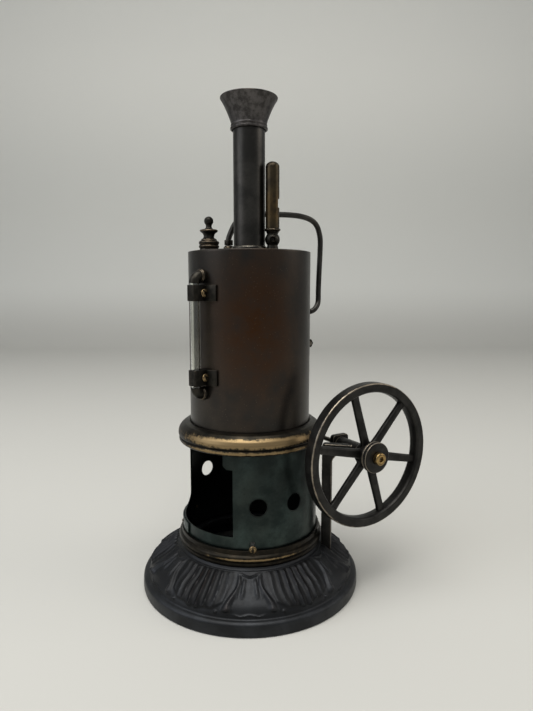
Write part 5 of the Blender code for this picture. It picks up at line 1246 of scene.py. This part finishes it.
@dataclass(frozen=True)
class Flywheel:
    """The six-spoked wheel with its pulley, its end boss, the crankshaft and the crank."""

    radius: float = 44.1 * MM
    rim: float = 5.8 * MM
    front: float = 59.4 * MM
    width: float = 7.5 * MM
    hub: float = 7.5 * MM
    spokes: int = 6
    angle: float = 47.0
    spoke_width: tuple = (5.6 * MM, 4.6 * MM)
    spoke_thickness: float = 3.4 * MM

    def spoke(self, number: int) -> bpy.types.Object:
        """A spoke: an oval carried outwards, wider where it flows into the hub and the rim."""
        place = forward(SHAFT)
        angle = math.radians(self.angle + 360.0 * number / self.spokes)
        along = place.x * math.cos(angle) + place.y * math.sin(angle)
        start, end = self.hub * 0.75, self.radius - self.rim * 0.6
        share = np.linspace(0.0, 1.0, 40)
        reach = start + (end - start) * share
        middle = place.z * (self.front - self.width / 2)
        path = place.origin + middle + reach[:, None] * along
        width = self.spoke_width[0] + (self.spoke_width[1] - self.spoke_width[0]) * share
        flare = 1 + 0.55 * np.exp(-share / 0.035) + 0.75 * np.exp(-(1 - share) / 0.045)
        turn = np.linspace(0.0, 2 * math.pi, 28, endpoint=False)
        across = np.sign(np.cos(turn)) * np.abs(np.cos(turn)) ** 0.6 * 0.5
        thick = np.sign(np.sin(turn)) * np.abs(np.sin(turn)) ** 0.7 * 0.5 * self.spoke_thickness
        side = np.cross(along, place.z)
        points = (path[:, None] + side * (across[None] * (width * flare)[:, None])[..., None]
                  + place.z * (thick[None] * flare[:, None] ** 0.5)[..., None])
        faces = grid_faces(40, 28, False, True).tolist() + [list(range(28)), list(range(39 * 28, 40 * 28))]
        rub = np.abs(np.cos(turn))[None] ** 6 * 0.25 + 0 * share[:, None]
        return make_object(f"flywheel_spoke_{number + 1}", points, faces, {"rub": rub})

    def build(self) -> None:
        """Builds and dresses the wheel and what turns with it."""
        place = forward(SHAFT)
        front, back, r = self.front, self.front - self.width, self.radius
        inner = r - self.rim
        outline = eased([(r - 0.5 * MM, front), (r, front - 0.7 * MM), (r, back + 0.7 * MM),
                         (r - 0.5 * MM, back), (inner + 0.8 * MM, back), (inner, back + 1.3 * MM),
                         (inner - 0.2 * MM, (front + back) / 2), (inner, front - 1.3 * MM),
                         (inner + 0.8 * MM, front)], 0.5 * MM, 4, True)
        outline = divided(outline, 0.6 * MM, True)
        from_lip = np.hypot(outline[:, 0] - r + 0.3 * MM, outline[:, 1] - front + 0.3 * MM)
        lip = np.exp(-(from_lip / (0.8 * MM)) ** 2)
        rub = np.maximum(edge_rub(outline, True) * 0.4, lip * 0.85)
        rim = turned("flywheel_rim", outline, place, 288, {"rub": rub})
        settle(rim, Finish.WHEEL_IRON, "flywheel", body="crankshaft")
        for i in range(self.spokes):
            settle(self.spoke(i), Finish.WHEEL_IRON, body="crankshaft")
        hub = eased([(1.6, 60.0), (5.6, 60.0), (7.0, 59.2), (7.5, 57.5), (7.5, 53.0), (6.9, 51.3),
                     (1.6, 51.3)], 0.8, 4, True) * MM
        settle(turned("flywheel_hub_boss", hub, place, 96), Finish.WHEEL_IRON, body="crankshaft")
        pulley = eased([(1.6, 64.5), (8.4, 64.5), (9.3, 64.1), (9.3, 63.5), (7.8, 62.5), (9.3, 61.4),
                        (9.3, 60.7), (8.4, 60.3), (1.6, 60.3)], 0.3, 4, True) * MM
        settle(turned("drive_pulley_grooved", divided(pulley, 0.6 * MM, True), place, 128), Finish.WHEEL_IRON,
               "drive_pulley", body="crankshaft")
        boss = eased([(1.6, 68.0), (3.3, 68.0), (3.85, 67.4), (3.85, 64.8), (1.6, 64.8)], 0.35, 4, True) * MM
        collar = turned("shaft_end_collar", boss, place, 64, {"rub": edge_rub(boss, True)})
        settle(collar, Finish.PATINATED_BRASS, "shaft_end_boss", body="crankshaft")
        shaft = eased([(0.0, 66.6), (1.5, 66.6), (1.5, -28.3), (0.0, -28.3)], 0.25, 3) * MM
        settle(turned("crankshaft_rod", divided(shaft, 3 * MM), place, 40), Finish.DRAWN_STEEL, "crankshaft",
               body="crankshaft")
        disc = eased([(1.8, -25.5), (10.4, -25.5), (11.0, -26.1), (11.0, -27.9), (10.4, -28.5), (1.8, -28.5)],
                     0.3, 3, True) * MM
        settle(turned("crank_plate", disc, place, 96), Finish.WHEEL_IRON, "crank_disc", body="crankshaft")
        pin_place = forward(SHAFT - np.array([0.0, 0.0, 8.0 * MM]))
        pin = eased([(0.0, -25.5), (1.4, -25.5), (1.4, -30.3), (0.0, -30.3)], 0.2, 2) * MM
        settle(turned("crank_pin_turned", pin, pin_place, 32), Finish.DRAWN_STEEL, "crank_pin",
               body="crankshaft")


@dataclass(frozen=True)
class Bearings:
    """The cast bracket under the flywheel's shaft and the rear bearing on the firebox."""

    azimuth: float = 47.5
    inner: float = 46.4 * MM
    column: float = 6.3 * MM
    thickness: float = 5.0 * MM
    arm_top: float = 91.5 * MM
    arm_height: float = 6.5 * MM
    fillet: float = 6.0 * MM

    def bracket(self) -> list[bpy.types.Object]:
        """The bracket: a column and an arm with a fillet, a sleeve, and a square flange, all bored."""
        place = upright(AXIS, self.azimuth)
        side = Place(place.origin, place.x, place.z, -place.y)
        end = (SHAFT[0] - AXIS[0]) / math.sin(math.radians(self.azimuth))
        outer, under = self.inner + self.column, self.arm_top - self.arm_height
        quarter = np.radians(np.linspace(180.0, 90.0, 10))
        fillet = np.stack([outer + self.fillet * (1 + np.cos(quarter)),
                           under - self.fillet * (1 - np.sin(quarter))], 1)
        foot = np.array([(self.inner, 13.0 * MM), (outer, 13.0 * MM)])
        crown = eased([(end, under), (end, self.arm_top), (self.inner, self.arm_top), (self.inner, 60 * MM)],
                      2.2 * MM, 5)
        outline = np.vstack([foot, fillet, crown])
        half = self.thickness / 2
        body = prism("bearing_bracket_casting", outline, side, -half, half, 0.7 * MM)
        sleeve = eased([(0.0, 50.0), (4.4, 50.0), (4.9, 49.5), (4.9, 29.8), (0.0, 29.8)], 0.3, 3) * MM
        shaft = forward(SHAFT)
        square = np.array([(-6.25, -6.25), (6.25, -6.25), (6.25, 6.25), (-6.25, 6.25)]) * MM
        square = eased(square, 2.6 * MM, 6, True)
        flange = prism("bracket_flange", square, shaft, 26.6 * MM, 30.0 * MM, 0.4 * MM)
        tube = turned("bracket_sleeve", divided(sleeve, 2 * MM), shaft, 64)
        bore = np.array([(0.0, 52.0), (3.15, 52.0), (3.15, 25.0), (0.0, 25.0)]) * MM
        return [cut(part, [turned("bracket_bore", bore, shaft, 48)]) for part in (body, tube, flange)]

    def rear(self) -> bpy.types.Object:
        """The rear bearing: a curved foot on the firebox, an arm and a sleeve."""
        low, high = node_box("rear_bearing")
        reach = math.hypot(SHAFT[0] - AXIS[0], 15.0 * MM)
        azimuth = math.degrees(math.atan2(SHAFT[0] - AXIS[0], -15.0 * MM))
        place = upright(AXIS, azimuth)
        span = np.radians(np.linspace(-9.3, 9.3, 16))
        foot = np.vstack([np.stack([45.0 * MM * np.cos(span), 45.0 * MM * np.sin(span)], 1),
                          np.stack([42.8 * MM * np.cos(span[::-1]), 42.8 * MM * np.sin(span[::-1])], 1)])
        body = prism("rear_bearing_casting", foot, place, low[2], high[2], 0.4 * MM)
        near, half, middle = 43.5 * MM, 2.8 * MM, SHAFT[2]
        arm_outline = np.array([(near, -half), (reach, -half), (reach, half), (near, half)])
        arm = prism("rear_arm", arm_outline, place, middle - half, middle + half, 0.6 * MM)
        sleeve = eased([(0.0, -11.0), (3.8, -11.0), (4.2, -11.4), (4.2, -18.6), (3.8, -19.0), (0.0, -19.0)],
                       0.3, 3) * MM
        shaft = forward(SHAFT)
        bore = np.array([(0.0, -9.0), (1.65, -9.0), (1.65, -21.0), (0.0, -21.0)]) * MM
        bore = turned("rear_bore", bore, shaft, 40)
        whole = cut(body, [arm, turned("rear_sleeve", sleeve, shaft, 56)], "UNION")
        return cut(whole, [bore])

    def build(self) -> None:
        """Builds and dresses the bearings."""
        for part in self.bracket():
            settle(part, Finish.WHEEL_IRON, "bearing_bracket")
        shaft = forward(SHAFT)
        bush = eased([(2.9, 50.2), (2.9, 26.6), (1.65, 26.6), (1.65, 50.2)], 0.25, 3, True) * MM
        settle(turned("front_bush", divided(bush, 2 * MM, True), shaft, 56), Finish.PATINATED_BRASS,
               "bearing_bush")
        settle(self.rear(), Finish.WHEEL_IRON, "rear_bearing")


# ---- cylinder ----

@dataclass(frozen=True)
class Cylinder:
    """The oscillating cylinder with its piston rod, and the steam block."""

    low: float = 131.0
    high: float = 165.0
    rod_y: float = 32.8
    pivot: float = 150.0

    def moving(self) -> None:
        """Builds the cylinder and what rocks with it."""
        axis = np.array([SHAFT[0], self.rod_y * MM, 0.0])
        place = upright(axis)
        wall = eased([(0.0, self.high), (7.0, self.high), (7.0, self.low), (5.0, self.low),
                      (5.0, self.high - 3.5), (0.0, self.high - 3.5)], 0.25, 3) * MM
        barrel = turned("cylinder_barrel", divided(wall, 1.5 * MM), place, 96)
        face = np.array([(-6.0, -8.5), (6.0, -8.5), (6.0, -5.3), (-6.0, -5.3)]) * MM
        flat = Place(axis, np.array([1.0, 0, 0]), np.array([0, 1.0, 0]), np.array([0, 0, 1.0]))
        port = prism("port_face", face, flat, (self.pivot - 9) * MM, (self.pivot + 9) * MM, 0.3 * MM)
        settle(cut(barrel, [port], "UNION"), Finish.PATINATED_BRASS, "cylinder", body="cylinder")
        top = self.high + 0.3
        cover = eased([(0.0, top + 3.5), (2.2, top + 3.3), (3.0, top + 2.2), (7.2, top + 2.2),
                       (7.7, top + 1.5), (7.7, top), (0.0, top)], 0.4, 3) * MM
        settle(turned("cylinder_head", cover, place, 72), Finish.BLACK_FITTING, "cylinder_cover",
               body="cylinder")
        low = self.low - 0.3
        gland = eased([(1.5, low), (7.0, low), (7.0, low - 1.2), (3.5, low - 1.7), (3.4, low - 3.5),
                       (1.5, low - 3.5)], 0.3, 3, True) * MM
        settle(turned("cylinder_stuffing_gland", gland, place, 64), Finish.BLACK_FITTING, "cylinder_gland",
               body="cylinder")
        rod_end = SHAFT[2] / MM - 8.0
        rod = eased([(0.0, 136.9), (4.7, 136.9), (4.7, 131.9), (1.2, 131.9), (1.2, rod_end + 2.5),
                     (0.0, rod_end + 2.5)], 0.2, 3) * MM
        piston = turned("piston_and_rod", divided(rod, 2 * MM), place, 40)
        pin = forward(np.array([SHAFT[0], self.rod_y * MM, SHAFT[2] - 8.0 * MM]))
        eye = eased([(1.7, 2.1), (3.2, 2.1), (3.6, 1.7), (3.6, -1.7), (3.2, -2.1), (1.7, -2.1)], 0.25, 3,
                    True) * MM
        settle(cut(piston, [turned("big_end_eye", eye, pin, 56)], "UNION"), Finish.DRAWN_STEEL, "piston_rod",
               body="piston")

    def fixed(self) -> None:
        """Builds the steam block, bored for the pivot."""
        flat = Place(np.zeros(3), np.array([1.0, 0, 0]), np.array([0, 1.0, 0]), np.array([0, 0, 1.0]))
        low, high = node_box("steam_block")
        outline = eased([(low[0], low[1]), (high[0], low[1]), (high[0], high[1]), (low[0], high[1])],
                        0.6 * MM, 4, True)
        block = prism("steam_block_casting", outline, flat, low[2], high[2], 0.5 * MM)
        bore = turned("pivot_bore", np.array([(0.0, -10.0), (1.55, -10.0), (1.55, -30.0), (0.0, -30.0)]) * MM,
                      forward(np.array([SHAFT[0], 0.0, self.pivot * MM])), 32)
        settle(cut(block, [bore]), Finish.BRONZED_BRASS, "steam_block")

    def build(self) -> None:
        """Builds and dresses the cylinder."""
        self.moving()
        self.fixed()


# ---- pieces that keep their CAD shape ----

KEPT = {
    Finish.BURNT_SHEET: ("boiler_bottom_plate", "flue_tube"),
    Finish.WHEEL_IRON: ("cylinder_bracket",),
    Finish.PATINATED_BRASS: ("whistle_languid", "safety_valve_nut", "rear_bearing_screw_left",
                             "rear_bearing_screw_right", "big_end_screw"),
    Finish.BLACK_FITTING: ("pivot_nut",),
    Finish.DRAWN_STEEL: ("safety_valve_spring", "pivot_spring", "pivot_pin", "bracket_foot_screw"),
}


def dress_kept() -> None:
    """Gives each CAD node that still shows its finish."""
    for finish, nodes in KEPT.items():
        for node in nodes:
            dress(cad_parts[node], finish)
            LOG.info("%s keeps its CAD shape", node)


# ---- studio ----

@dataclass(frozen=True)
class Studio:
    """A pale sweep of paper, soft lights and the camera."""

    camera_at: tuple = (-0.18275, -0.3020, 0.1894)
    camera_turn: tuple = (82.766, 0.0, -31.138)
    lens_mm: float = 28.04
    view_azimuth: float = -29.4

    def sweep(self) -> None:
        """The floor, a quarter turn of a cylinder, and the wall, across the view."""
        place = upright(np.array([AXIS[0], AXIS[1], -0.0002]), self.view_azimuth)
        bend, back = 0.45, -1.3
        quarter = np.linspace(0.0, math.pi / 2, 32)
        depth = np.concatenate([[1.6], back - bend * np.sin(quarter), [back - bend]])
        height = np.concatenate([[0.0], bend * (1 - np.cos(quarter)), [2.6]])
        across = np.array([-2.6, 2.6])[None, :]
        depth, height = depth[:, None], height[:, None]
        points = place.at(depth + 0 * across, across + 0 * depth, height + 0 * across)
        faces = grid_faces(*points.shape[:2], False, False).tolist()
        paper = make_object("studio_paper", points, faces, None, False)
        dress(paper, Finish.PAPER)

    def light(self, name: str, azimuth: float, elevation: float, distance: float, size: float,
              power: float, tint: str) -> None:
        """A square soft light that looks at the engine's middle.

        Args:
            name: Its name.
            azimuth: Where it stands, seen from the engine.
            elevation: How high it stands, in degrees.
            distance: How far away it is.
            size: The side of the square.
            power: Its power in watts.
            tint: Its colour.
        """
        data = bpy.data.lights.new(name, "AREA")
        data.shape, data.size, data.energy, data.color = "SQUARE", size, power, tone(tint)[:3]
        lamp = bpy.data.objects.new(name, data)
        bpy.context.scene.collection.objects.link(lamp)
        out = upright(AXIS, azimuth).x
        up = math.radians(elevation)
        way = out * math.cos(up) + np.array([0.0, 0.0, 1.0]) * math.sin(up)
        lamp.location = AXIS + np.array([0.0, 0.0, 0.15]) + way * distance
        lamp.rotation_euler = Vector(way.tolist()).to_track_quat("Z", "Y").to_euler()

    def build(self) -> None:
        """Builds the studio."""
        self.sweep()
        self.light("overhead_softbox", -50.0, 72.0, 1.3, 1.1, 20.0, "#fffdf8")
        self.light("left_window", -100.0, 28.0, 1.5, 0.9, 7.0, "#f6f9ff")
        self.light("right_fill", 55.0, 25.0, 1.7, 0.9, 5.5, "#fff9f0")
        world = bpy.data.worlds.new("studio_air")
        world.use_nodes = True
        world.node_tree.nodes["Background"].inputs["Color"].default_value = tone("#dfe3e6")
        world.node_tree.nodes["Background"].inputs["Strength"].default_value = 0.35
        bpy.context.scene.world = world
        bpy.context.scene.view_settings.view_transform = "Standard"
        data = bpy.data.cameras.new("camera")
        data.sensor_fit, data.sensor_height, data.lens = "VERTICAL", 36.0, self.lens_mm
        camera = bpy.data.objects.new("camera", data)
        camera.location = self.camera_at
        camera.rotation_euler = [math.radians(a) for a in self.camera_turn]
        data.clip_start, data.clip_end = 0.01, 20.0
        bpy.context.scene.collection.objects.link(camera)
        bpy.context.scene.camera = camera


def main() -> None:
    """Builds every sub-assembly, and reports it."""
    logging.basicConfig(level=logging.INFO, format="%(message)s")
    for part in (Base(), Firebox(), Boiler(), Chimney(), SafetyValve(), Whistle(), SteamPipe(), WaterGauge(),
                 Flywheel(), Bearings(), Cylinder(), Studio()):
        part.build()
        LOG.info("built %s", type(part).__name__)
    dress_kept()


if __name__ == "__main__":
    main()
